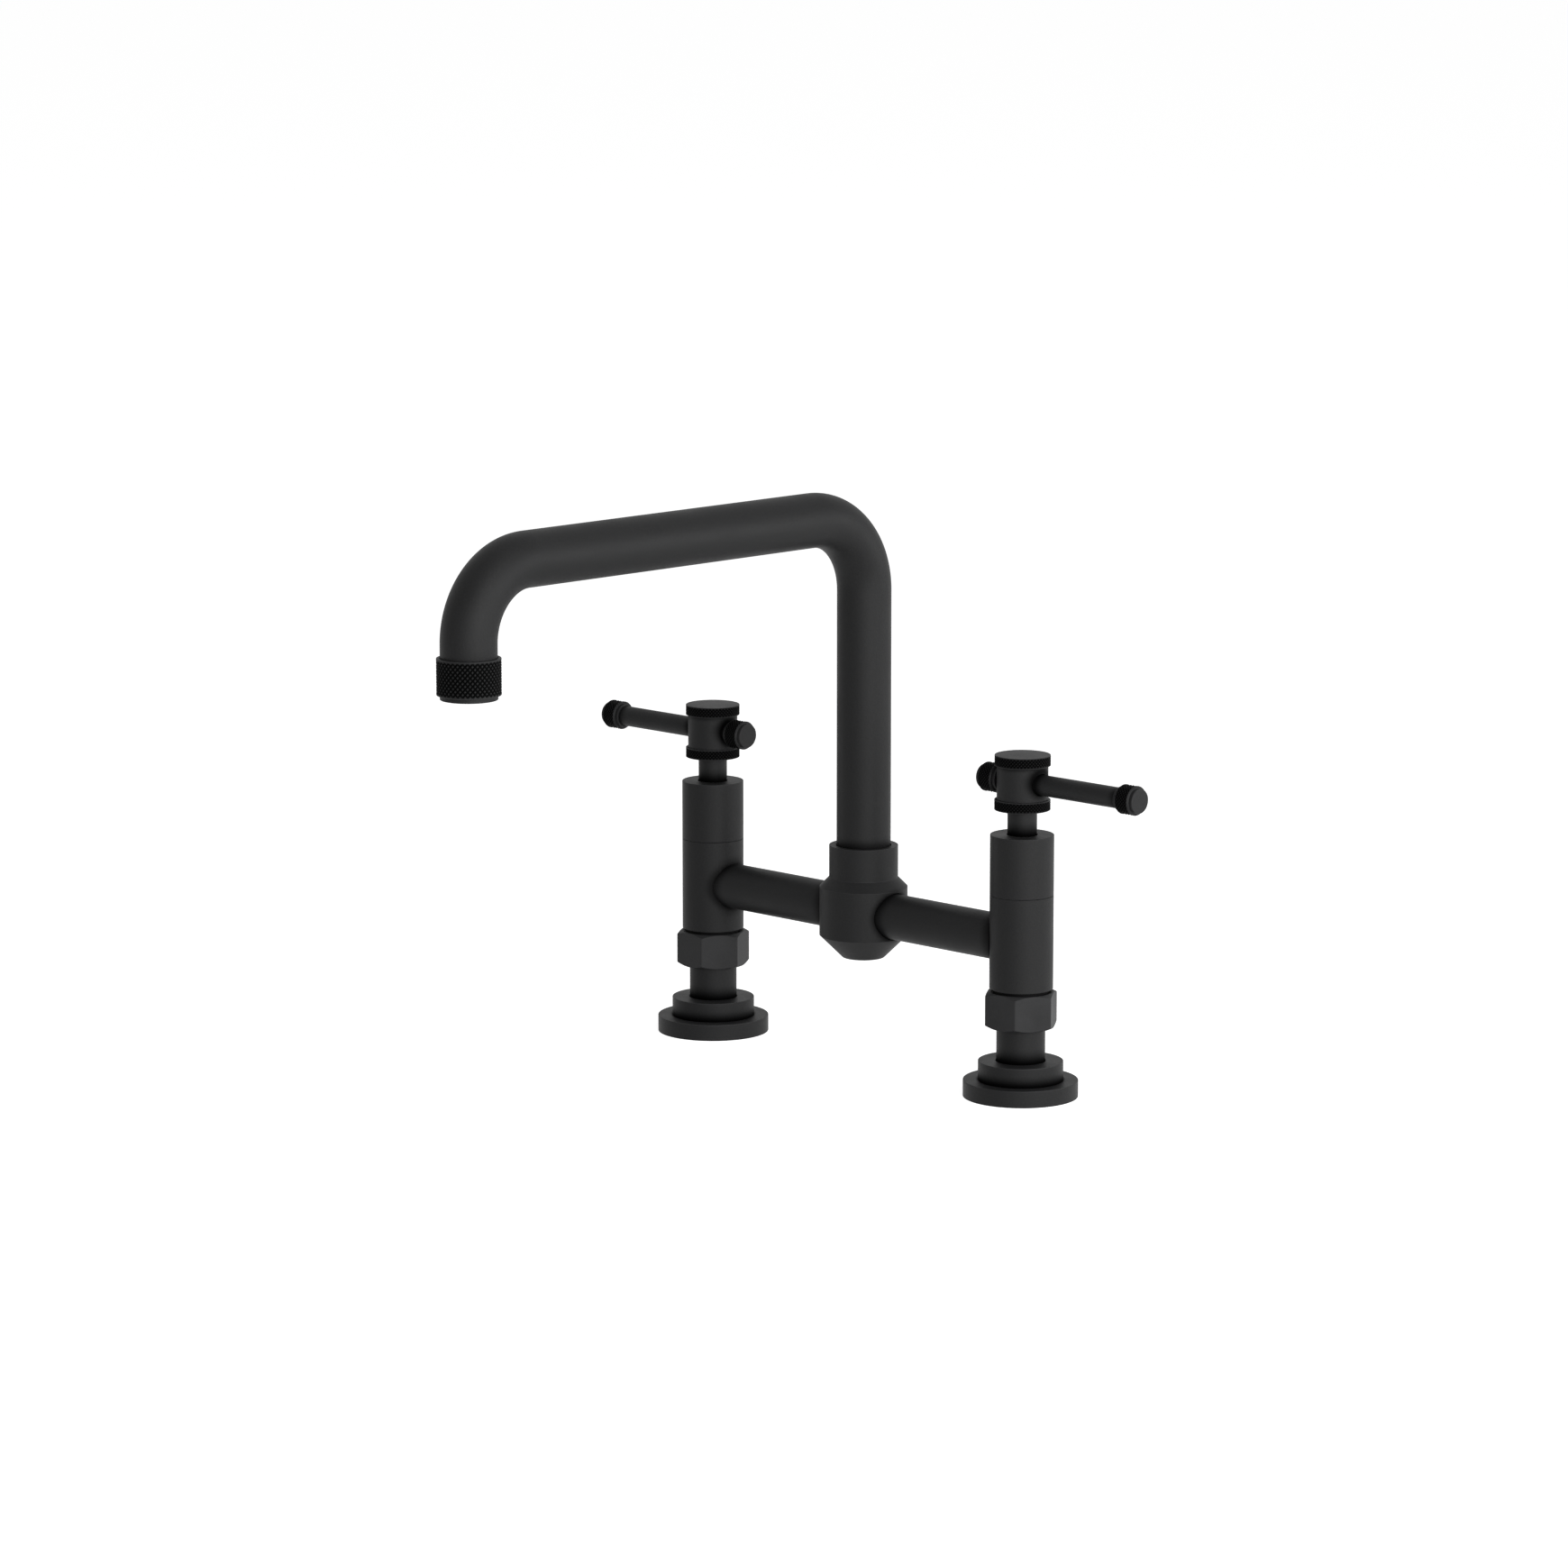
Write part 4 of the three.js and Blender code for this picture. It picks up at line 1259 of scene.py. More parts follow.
    def room(self, part: str) -> Room:
        """Box of one of this side's nodes."""
        return Room.of(self.side.node(part))

    def placed(self, points: Array) -> Array:
        """Move points from the column's own frame to their place in the faucet."""
        return points * [self.side.outward, 1, 1] + [self.axis, 0, 0]

    def along_lever(self, room: Room) -> tuple[float, float]:
        """Ends of a piece on the lever, as distances from the column's axis with outwards positive."""
        ends = sorted(self.side.outward * (float(x) - self.axis) for x in (room.low[0], room.high[0]))
        return ends[0], ends[1]

    def piece(self, shell: Shell, part: str, coat: Slot = Slot.MATTE_BLACK, body: str = ROOT_BODY) -> None:
        """Make a piece of this side, from a shell drawn about the column's axis and the part's name."""
        make_piece(shell.move(self.placed), self.side.node(part), body, coat)

    def build(self) -> None:
        """Make every visible piece of this side."""
        self.deck_flange()
        self.tailpiece()
        self.union_nut()
        self.valve_body()
        self.bonnet()
        self.handle_hub()
        self.lower_collar()
        self.top_cap()
        self.lever_rod()
        self.knob("long_knob")
        self.knob("short_knob")
        self.grub_screw("lever_grub_screw", self.lever_hole)
        self.grub_screw("hub_grub_screw", self.spindle_bore)

    def deck_flange(self) -> None:
        """Stepped flange with a recess for its gasket.

        Its cross-section, as radius and height, is turned about the column's axis.
        """
        room, gasket = self.room("deck_flange"), self.room("deck_gasket")
        radius, bore = room.radius(), self.neck + self.detail.fit
        recess = radius - self.gasket_rim
        edge, small = self.detail.edge, self.detail.hidden_edge
        shell = Shell().add_ring([
            (bore, gasket.top), (recess, gasket.top), (recess, 0), (radius, 0),
            (radius, self.flange_thickness), (self.step_radius, self.flange_thickness),
            (self.step_radius, room.top), (bore, room.top),
        ], [small, small, small, small, edge, small, edge, small], self.detail.segments)
        shell.shade(Crease(self.step_shade, self.step_radius, self.flange_thickness))
        self.piece(shell, "deck_flange")

    def tailpiece(self) -> None:
        """Inlet tube with its union collar: their cross-section, turned about the column's axis."""
        room, bore = self.room("tailpiece"), self.detail.waterway
        collar_foot = self.room("union_nut").bottom + self.nut_lip + self.detail.fit
        shell = Shell().add_ring([
            (bore, 0), (self.neck, 0), (self.neck, collar_foot), (room.radius(), collar_foot),
            (room.radius(), room.top), (bore, room.top),
        ], self.detail.hidden_edge, self.detail.segments)
        shell.shade(Crease(self.neck_shade, self.neck, self.room("deck_flange").top))
        self.piece(shell, "tailpiece")

    def union_nut(self) -> None:
        """Hexagon nut: a cone cuts both ends, so each flat ends in an arc.

        The cone meets the end faces at a circle a little inside the flats, and drops with the distance
        outside that circle, so the drop is the hexagon's radius less the circle's, times the slope.
        """
        room = self.room("union_nut")
        thread = self.room("tailpiece").radius() + self.detail.fit
        neck = self.neck + self.detail.fit
        apothem = thread + self.nut_wall
        angle = angles(self.nut_segments)
        outer = hexagon_radius(angle, 2 * apothem, self.nut_corner, math.radians(self.nut_turn))
        circle = apothem - self.nut_chamfer_inset
        drop = (outer - circle) * self.nut_chamfer_slope
        edge, half = self.nut_edge, self.nut_edge / 2
        lip, bottom, top = room.bottom + self.nut_lip, room.bottom, room.top
        grid = ringed([
            (neck, bottom + edge), (neck + edge, bottom), (circle - edge, bottom), (circle, bottom + half),
            (outer - edge, bottom + drop - half), (outer, bottom + drop + edge),
            (outer, top - drop - edge), (outer - edge, top - drop + half),
            (circle, top - half), (circle - edge, top), (thread + edge, top), (thread, top - edge),
            (thread, lip), (neck, lip),
        ], angle)
        wear_and_highlight = np.repeat([0, self.nut_wear_and_highlight, 0], [3, 6, 5])[:, None]
        shell = Shell().add(grid, wear_and_highlight, round_rows=True, round_columns=True)
        shell.shade(Crease(self.nut_shade, thread, top))
        self.piece(shell, "union_nut")

    def valve_body(self) -> None:
        """Lower half of the column, with the socket for the bridge pipe in its inner side.

        Two open outlines are turned about the column's axis, one round the foot and one from the seam over
        the spigot, into the cavity and down the bore. The band between them is bent round the socket.
        """
        room, bonnet = self.room("valve_body"), self.room("bonnet")
        radius, union, bore = bonnet.radius(), self.room("tailpiece").radius(), self.detail.waterway
        foot = self.room("union_nut").top + self.foot_gap
        seam = bonnet.bottom - self.seam
        seat = foot + self.seat_above
        edge, small = self.detail.small_edge, self.detail.hidden_edge
        shell = Shell()
        shell.add_turned([
            (bore, room.bottom), (union, room.bottom), (union, foot), (radius, foot), (radius, foot + edge),
        ], [0, small, small, edge, 0], self.detail.segments)
        shell.add_turned([
            (radius, seam - edge), (radius, seam), (radius - self.spigot_step, seam),
            (radius - self.spigot_step, room.top), (self.cavity, room.top), (self.cavity, seat),
            (bore, seat), (bore, room.bottom),
        ], [0, edge, small, small, small, small, small, 0], self.detail.segments)
        port = Port(quarter=2, radius=self.port_radius, height=self.bridge_axis[2], floor=self.port_floor)
        PortedBand(radius, foot + edge, seam - edge, [port], self.detail.segments // 4).add_to(shell)
        gap_shade = CornerShade(self.foot_gap, self.gap_shade_across)
        pipe_radius = self.room("bridge_pipe").radius()
        shell.shade(
            Crease(gap_shade, union, foot - self.foot_gap / 2),
            Crease(self.port_shade, pipe_radius, -radius, Spin.SIDEWAYS, self.bridge_axis),
        )
        self.piece(shell, "valve_body")

    def bonnet(self) -> None:
        """Upper half of the column: the cross-section of a cap with a hole for the handle's neck, turned."""
        room = self.room("bonnet")
        radius, hole = room.radius(), self.stem + self.detail.fit
        inner, roof = radius - self.bonnet_wall, room.top - self.bonnet_roof
        edge, seam_edge, small = self.detail.edge, self.detail.small_edge, self.detail.hidden_edge
        shell = Shell().add_ring([
            (inner, room.bottom), (radius, room.bottom), (radius, room.top), (hole, room.top),
            (hole, roof), (inner, roof),
        ], [small, seam_edge, edge, seam_edge, small, small], self.detail.segments)
        self.piece(shell, "bonnet")

    def handle_hub(self) -> None:
        """Neck and barrel: bored across for the lever, with screw holes at the back.

        Three open outlines are turned about the column's axis: the spindle's bore with the lower neck, the
        upper neck with the barrel's foot, and the barrel's rim with the cap's recess. The bands between them
        are bent round the holes.
        """
        room, collar, screw = self.room("handle_hub"), self.room("lower_collar"), self.room("hub_grub_screw")
        radius, neck, fit = room.radius(), self.stem, self.detail.fit
        grub = screw.radius(0) + fit
        lever_z, screw_z = self.lever_axis[2], float(screw.middle[2])
        recess_floor = self.room("top_cap").bottom - fit
        spindle_roof = self.room("spindle").top + fit
        edge, small = self.hub_edge, self.detail.hidden_edge
        low, high = screw_z - self.stem_band, screw_z + self.stem_band
        segments = self.detail.segments
        shell = Shell()
        shell.add_turned([
            (0, spindle_roof), (self.spindle_bore, spindle_roof), (self.spindle_bore, room.bottom),
            (neck, room.bottom), (neck, low),
        ], [0, small, small, self.detail.small_edge, 0], segments)
        shell.add_turned([
            (neck, high), (neck, collar.top), (radius, collar.top), (radius, collar.top + edge),
        ], [0, small, edge, 0], segments)
        shell.add_turned([
            (radius, room.top - edge), (radius, room.top), (self.cap_recess, room.top),
            (self.cap_recess, recess_floor), (0, recess_floor),
        ], [0, edge, small, small, 0], segments)
        PortedBand(radius, collar.top + edge, room.top - edge, [
            Port(quarter=0, radius=self.lever_hole, height=lever_z, floor=0),
            Port(quarter=2, radius=self.lever_hole, height=lever_z, floor=0),
            Port(quarter=1, radius=grub, height=lever_z, floor=self.lever_hole + self.detail.skin),
        ], segments // 4).add_to(shell)
        PortedBand(neck, low, high, [
            Port(quarter=1, radius=grub, height=screw_z, floor=self.spindle_bore + self.detail.skin),
        ], segments // 4).add_to(shell)
        raised_axis = (0.0, 0.0, lever_z + self.lever_shade_lift)
        shell.shade(
            Crease(self.stem_shade, neck, self.room("bonnet").top),
            Crease(self.cap_shade, radius, room.top),
            Crease(self.lever_shade, self.lever_hole, spin=Spin.SIDEWAYS, origin=raised_axis),
        )
        self.piece(shell, "handle_hub", body=self.handle_body)

    def lower_collar(self) -> None:
        """Knurled ring round the neck: a rectangle turned about its axis, less the depth of the knurls."""
        room = self.room("lower_collar")
        radius, bore = room.radius(), self.stem + self.detail.fit
        edge, small = self.knurled_edge, self.detail.hidden_edge
        outline = [(bore, room.bottom), (radius, room.bottom), (radius, room.top), (bore, room.top)]
        face = (room.bottom + edge, room.top - edge)
        grid, wear_and_highlight, painted_shade = knurled_turned(
            outline, [small, edge, edge, small], face, radius, self.collar_knurl
        )
        shell = Shell().add(grid, wear_and_highlight, painted_shade, round_rows=True, round_columns=True)
        self.piece(shell, "lower_collar", Slot.KNURLED_BLACK, self.handle_body)

    def top_cap(self) -> None:
        """Knurled cap with a smooth top face and a spigot below.

        An open outline from the axis round the rim and back is turned, and its outer face is knurled.
        """
        room, hub = self.room("top_cap"), self.room("handle_hub")
        radius, spigot = room.radius(), self.cap_recess - self.detail.fit
        edge, small = self.knurled_edge, self.detail.hidden_edge
        outline = [
            (0, room.bottom), (spigot, room.bottom), (spigot, hub.top), (radius, hub.top),
            (radius, room.top), (0, room.top),
        ]
        face = (hub.top + edge, room.top - edge)
        grid, wear_and_highlight, painted_shade = knurled_turned(
            outline, [0, small, small, edge, edge, 0], face, radius, self.collar_knurl, closed=False
        )
        shell = Shell().add(grid, wear_and_highlight, painted_shade, round_columns=True)
        self.piece(shell, "top_cap", Slot.KNURLED_BLACK, self.handle_body)

    def lever_rod(self) -> None:
        """Bar through the hub, turned down at both ends to enter the knobs.

        An open outline from end to end is turned about the bar's axis.
        """
        room = self.room("lever_rod")
        radius, spigot = room.radius(), self.knob_spigot
        near, far = self.along_lever(room)
        length = self.knob_bore_depth - self.detail.fit
        edge, root = self.detail.small_edge, self.rod_root_edge
        points, wear_and_highlight = refined(*rounded([
            (0, near), (spigot, near), (spigot, near + length), (radius, near + length),
            (radius, far - length), (spigot, far - length), (spigot, far), (0, far),
        ], [0, edge, root, edge, edge, root, edge, 0], closed=False), closed=False)
        grid = turned(points, self.rod_segments, Spin.SIDEWAYS)
        grid[..., 2] += room.middle[2]
        hub = self.room("handle_hub").radius()
        shell = Shell().add(grid, wear_and_highlight[:, None], round_columns=True)
        shell.shade(
            Crease(self.rod_shade, radius, hub, Spin.SIDEWAYS, self.lever_axis),
            Crease(self.rod_shade, radius, -hub, Spin.SIDEWAYS, self.lever_axis),
            Crease(self.rod_end_shade, radius, far - length, Spin.SIDEWAYS, self.lever_axis),
        )
        self.piece(shell, "lever_rod", body=self.handle_body)

    def knob(self, part: str) -> None:
        """Knob: a smooth button at each end of a bevelled, knurled ring, with its bore towards the column.

        An open outline, from the bore's floor round the outside to the middle of the outer button, is turned
        and knurled. Its distances along the axis count from the end near the column.

        Args:
            part: long_knob or short_knob.
        """
        room = self.room(part)
        radius, button, bore = room.radius(), self.knob_button, self.knob_spigot + self.detail.fit
        length, small = float(room.size[0]), self.detail.hidden_edge
        ring_start, ring_end = self.knob_button_length, length - self.knob_button_length
        face_start, face_end = ring_start + self.knob_bevel, ring_end - self.knob_bevel
        shoulder = radius - self.knob_bevel
        outline = [
            (0, self.knob_bore_depth), (bore, self.knob_bore_depth), (bore, 0), (button, 0),
            (button, ring_start), (shoulder, ring_start), (radius, face_start), (radius, face_end),
            (shoulder, ring_end), (button, ring_end), (button, length), (0, length),
        ]
        ring_radii = [self.button_edge, self.root_edge, self.bevel_edge, small]
        radii = [0, small, small, *ring_radii, *reversed(ring_radii), 0]
        face = (face_start + small, face_end - small)
        grid, wear_and_highlight, painted_shade = knurled_turned(
            outline, radii, face, radius, self.knob_knurl, Spin.SIDEWAYS, closed=False
        )
        near, far = sorted(self.along_lever(room), key=abs)
        grid[..., 0] = near + math.copysign(1.0, far - near) * grid[..., 0]
        grid[..., 2] += room.middle[2]
        shell = Shell().add(grid, wear_and_highlight, painted_shade, round_columns=True)
        self.piece(shell, part, Slot.KNURLED_BLACK, self.handle_body)

    def grub_screw(self, part: str, bore: float) -> None:
        """Headless screw at the back of the handle, as far from its hole's floor as that is from the bore.

        Args:
            part: lever_grub_screw or hub_grub_screw.
            bore: Radius of the bore that the screw's hole stops short of.
        """
        shell = self.screw.shell(self.room(part), bore + 2 * self.detail.skin)
        make_piece(shell, self.side.node(part), self.handle_body, Slot.STEEL)


@dataclass
class Bridge:
    """The two bridge pipes and the centre body that joins them under the spout."""

    detail: Detail = Detail()
    screw: SocketScrew = SocketScrew()
    segments: int = 128
    """Points round the centre body, a multiple of four."""
    pipe_bore: float = 6.5
    pipe_rings: int = 48
    """Rings of points along a pipe."""
    pipe_shade: CornerShade = CornerShade(across=6.0, strength=0.7)
    """Shade at both ends of a pipe."""
    cope_bevel: tuple[float, float] = (0.4, 0.15)
    """Shares of the edge at the middle of the coped end's bevel, towards the axis and away from the end."""
    nipple: float = 7.9
    """Radius of the pipe's end inside the valve body."""
    nipple_end: float = 10.9
    """Distance of that end from the column's axis."""
    foot_radius: float = 10.02
    waist_below: float = 0.5
    """Height of the waist's lower edge below the pipes."""
    waist_above: float = 1.2
    """Height of its upper edge above them."""
    shoulder: float = 4.6
    sleeve_wall: float = 3.22
    socket_floor: float = 14.7
    """Distance of the pipe sockets' floors from the middle."""
    chamber: float = 9.0
    chamber_floor: float = 3.0
    swivel_floor_above: float = 7.5
    """Height of the spout socket's floor above the pipes' axis."""
    socket_bevel: float = 0.08
    socket_shade: CornerShade = CornerShade(across=3.0, strength=0.7)
    """Shade round the pipe sockets."""
    lower_edge: float = 0.06
    upper_edge: float = 0.25
    sleeve_margin: float = 0.5
    """Distance of the screw's band from both ends of the sleeve."""

    def build(self) -> None:
        """Make every visible piece of the bridge."""
        self.pipe(Side.LEFT)
        self.pipe(Side.RIGHT)
        self.centre_body()
        self.spout_screw()

    def pipe(self, side: Side) -> None:
        """Bridge pipe: coped to the column, with a nipple inside it.

        The coped end lies where a cylinder round the column's axis, a clearance larger than the column, meets
        each radius of the pipe: at the column's distance less the root of the cylinder's radius squared less
        the sideways distance squared.

        Args:
            side: Which pipe.
        """
        room, column = Room.of(side.node("bridge_pipe")), Room.of(side.node("bonnet"))
        radius, axis = room.radius(), abs(float(column.middle[0]))
        around = column.radius() + self.detail.fit
        near, far = float(np.abs([room.low[0], room.high[0]]).min()), axis - self.nipple_end
        angle = angles(self.detail.segments)

        def coped(r: float) -> Array:
            """Distance of the coped end from the middle, round a circle of radius r."""
            return axis - np.sqrt(around ** 2 - (r * np.cos(angle)) ** 2)

        small, edge = self.detail.hidden_edge, self.detail.small_edge
        bevel_in, bevel_back = edge * self.cope_bevel[0], edge * self.cope_bevel[1]
        shares = np.linspace(0, 1, self.pipe_rings)[1:-1]
        grid = ringed([
            (self.pipe_bore, near), (radius - edge, near), (radius, near + edge),
            *((radius, near + edge + share * (coped(radius) - near - 2 * edge)) for share in shares),
            (radius, coped(radius) - edge), (radius - bevel_in, coped(radius) - bevel_back),
            (radius - edge, coped(radius - edge)), (self.nipple, coped(self.nipple)),
            (self.nipple, far - small), (self.nipple - small, far), (self.pipe_bore, far),
        ], angle, Spin.SIDEWAYS)
        grid[..., 0] *= side.outward
        grid[..., 2] += room.middle[2]
        shell = Shell().add(grid, round_rows=True, round_columns=True)
        shell.shade(
            Crease(self.pipe_shade, column.radius(), origin=(side.outward * axis, 0.0, 0.0)),
            Crease(self.pipe_shade, Room.of("centre_body").radius()),
        )
        make_piece(shell, side.node("bridge_pipe"), ROOT_BODY, Slot.MATTE_BLACK)

    def centre_body(self) -> None:
        """Turned tee: pipe sockets in its waist, a cone below, a shoulder and the spout's sleeve above.

        Three open outlines are turned about the spout's axis: the cone, the shoulder, and the sleeve's rim
        with everything inside. The bands between them are bent round the pipe sockets and the screw's hole.
        """
        room, pipe, screw = Room.of("centre_body"), Room.of("left_bridge_pipe"), Room.of("spout_grub_screw")
        detail, radius, bridge = self.detail, room.radius(), float(pipe.middle[2])
        bore = Room.of("spout_tube").radius(0) + detail.fit
        sleeve = bore + self.sleeve_wall
        low, high = bridge - pipe.radius() - self.waist_below, bridge + pipe.radius() + self.waist_above
        sleeve_foot = high + self.shoulder
        sleeve_low, sleeve_high = sleeve_foot + self.sleeve_margin, room.top - self.sleeve_margin
        chamber_floor, swivel_floor = low + self.chamber_floor, bridge + self.swivel_floor_above
        small = detail.hidden_edge
        shell = Shell()
        shell.add_turned([
            (0, room.bottom), (self.foot_radius, room.bottom), (radius, low), (radius, low + self.lower_edge),
        ], [0, detail.edge, self.lower_edge, 0], self.segments)
        shell.add_turned([
            (radius, high - self.upper_edge), (radius, high), (sleeve, sleeve_foot), (sleeve, sleeve_low),
        ], [0, self.upper_edge, small, 0], self.segments)
        shell.add_turned([
            (sleeve, sleeve_high), (sleeve, room.top), (bore, room.top), (bore, swivel_floor),
            (self.chamber, swivel_floor), (self.chamber, chamber_floor), (0, chamber_floor),
        ], [0, detail.edge, detail.small_edge, small, small, small, 0], self.segments)
        sockets = [
            Port(quarter, pipe.radius() + detail.fit, bridge, self.socket_floor, self.socket_bevel)
            for quarter in (0, 2)
        ]
        waist_low, waist_high = low + self.lower_edge, high - self.upper_edge
        PortedBand(radius, waist_low, waist_high, sockets, self.segments // 4).add_to(shell)
        screw_hole = Port(1, screw.radius(0) + detail.fit, float(screw.middle[2]), bore + detail.fit)
        PortedBand(sleeve, sleeve_low, sleeve_high, [screw_hole], self.segments // 4).add_to(shell)
        shell.shade(Crease(self.socket_shade, pipe.radius(), spin=Spin.SIDEWAYS, origin=(0.0, 0.0, bridge)))
        make_piece(shell, "centre_body", ROOT_BODY, Slot.MATTE_BLACK)

    def spout_screw(self) -> None:
        """Screw at the back that keeps the spout in its socket."""
        start = Room.of("spout_tube").radius(0) + 2 * self.detail.fit + self.detail.skin
        shell = self.screw.shell(Room.of("spout_grub_screw"), start)
        make_piece(shell, "spout_grub_screw", ROOT_BODY, Slot.STEEL)


@dataclass
class Spout:
    """The swept tube and its aerator, which turn together about the riser."""

    detail: Detail = Detail()
    tube_wall: float = 1.46
    riser_bend: float = 36.25
    tip_bend: float = 34.5
    bend_steps: int = 48
    foot_length: float = 14.0
    """Length of the riser's foot, where its rings lie close."""
    foot_rings: int = 15
    foot_shade: CornerShade = CornerShade(along=5.5, strength=0.75)
    """Shade at the riser's foot."""
    tube_in_shell: float = 2.2
    """How far the tube's end reaches into the aerator's ring."""
    tube_recess: float = 2.5
    """Depth of the recess that takes the tube's end."""
    lip_inset: float = 1.53
    lip_height: float = 2.0
    lip_wall: float = 2.2
    lip_edge: float = 0.3
    lip_root_edge: float = 0.05
    thread_step: float = 0.46
    ring_edge: float = 0.45
    insert_holes: int = 6
    insert_hole: float = 1.5
    insert_ring: float = 6.2
    """Distance of the outer holes from the aerator's axis."""
    knurl: Knurl = Knurl(around=40, pitch=2.49, depth=0.5, samples=10, crest=0.0, fall=2.2)

    def build(self) -> None:
        """Make every visible piece of the spout."""
        self.tube()
        self.aerator_shell()
        self.aerator_insert()

    def centre_line(self) -> tuple[Array, Array, Array]:
        """Centre line of the tube: two legs down, one forwards, and two quarter bends between them.

        A point of a bend lies at the bend's centre plus its radius times the cosine and the sine of an angle
        that runs through a quarter turn.

        Returns:
            Reach forwards, height, and the angle of the outward radius in that plane, for each point.
        """
        room = Room.of("spout_tube")
        radius = room.radius(0)
        top, reach = room.top - radius, -float(room.low[1]) - radius
        tip_end = Room.of("aerator_shell").top - self.tube_in_shell
        bend = np.linspace(0, np.pi / 2, self.bend_steps)
        first, second = np.pi - bend, np.pi / 2 - bend
        foot = room.bottom + np.linspace(0, self.foot_length, self.foot_rings)
        forward = np.concatenate([
            0 * foot,
            self.riser_bend * (1 + np.cos(first)),
            reach - self.tip_bend * (1 - np.cos(second)),
            [reach],
        ])
        height = np.concatenate([
            foot,
            top - self.riser_bend * (1 - np.sin(first)),
            top - self.tip_bend * (1 - np.sin(second)),
            [tip_end],
        ])
        return forward, height, np.concatenate([0 * foot + np.pi, first, second, [0.0]])

    def tube(self) -> None:
        """Drawn tube, open at both ends.

        A circle is carried along the centre line in the plane of the outward radius and X. It goes out along
        the outside and comes back along the inside.
        """
        forward, height, angle = self.centre_line()
        radius = Room.of("spout_tube").radius(0)
        order = np.concatenate([np.arange(len(forward)), np.arange(len(forward))[::-1]])
        size = np.repeat([radius, radius - self.tube_wall], len(forward))[:, None]
        around = angles(self.detail.segments)
        out = size * np.cos(around)
        x = size * np.sin(around)
        y = -(forward[order, None] + out * np.cos(angle[order, None]))
        z = height[order, None] + out * np.sin(angle[order, None])
        shell = Shell().add(np.stack([x, y, z], axis=-1), round_rows=True, round_columns=True)
        shell.shade(Crease(self.foot_shade, radius, Room.of("centre_body").top))
        make_piece(shell, "spout_tube", SPOUT_BODY, Slot.MATTE_BLACK)

    def aerator_shell(self) -> None:
        """Knurled ring with a smooth lip below: its cross-section, turned about the outlet's axis."""
        room, tube = Room.of("aerator_shell"), Room.of("spout_tube").radius(0)
        radius, ring, edge = room.radius(), room.bottom + self.lip_height, self.ring_edge
        lip = radius - self.lip_inset
        mouth, recess = lip - self.lip_wall, tube + self.detail.fit
        thread, shoulder = recess - self.thread_step, room.top - self.tube_recess
        outline = [
            (mouth, room.bottom), (lip, room.bottom), (lip, ring), (radius, ring), (radius, room.top),
            (recess, room.top), (recess, shoulder), (thread, shoulder), (thread, ring), (mouth, ring),
        ]
        radii = [self.detail.small_edge, self.lip_edge, self.lip_root_edge, edge, edge]
        radii += [self.detail.hidden_edge] * (len(outline) - len(radii))
        face = (ring + edge, room.top - edge)
        grid, wear_and_highlight, painted_shade = knurled_turned(outline, radii, face, radius, self.knurl)
        grid[..., :2] += room.middle[:2]
        shell = Shell().add(grid, wear_and_highlight, painted_shade, round_rows=True, round_columns=True)
        make_piece(shell, "aerator_shell", SPOUT_BODY, Slot.KNURLED_BLACK)

    def aerator_insert(self) -> None:
        """Perforated disc that straightens the flow, seen from below."""
        room = Room.of("aerator_insert")
        disc = PerforatedDisc(room.radius(), room.bottom, room.top, self.insert_hole, self.insert_ring,
                              self.insert_holes)
        middle = np.array([room.middle[0], room.middle[1], 0.0])
        shell = disc.shell().move(lambda points: points + middle)
        make_piece(shell, "aerator_insert", SPOUT_BODY, Slot.PLASTIC)


def dress_hidden_nodes() -> None:
    """Give every CAD node that still shows the finish of its material slot."""
    slot_of = {row["node"]: row["material_slot"] for row in frame["record"]["subparts"]}
    for name, node in frame["nodes"].items():
        if node.hide_render:
            continue
        slot = Slot(slot_of[name])
        node.data.materials.clear()
        node.data.materials.append(FINISH_OF_SLOT[slot].material())
        LOG.info("%s keeps its CAD mesh, finish %s", name, slot.value)


# ----------------------------------------------------------------------------------------------------------
# Studio
# ----------------------------------------------------------------------------------------------------------


@dataclass(frozen=True)
class Lamp:
    """A square softbox that points at the object."""

    name: str
    azimuth: float
    """Degrees round the object, 0 in front of the spout and 90 on its right."""
    elevation: float
    """Degrees above the floor."""
    distance: float
    """Metres from the point that all lamps aim at."""
    size: float
    """Metres along a side."""
    power: float
    """Watts."""


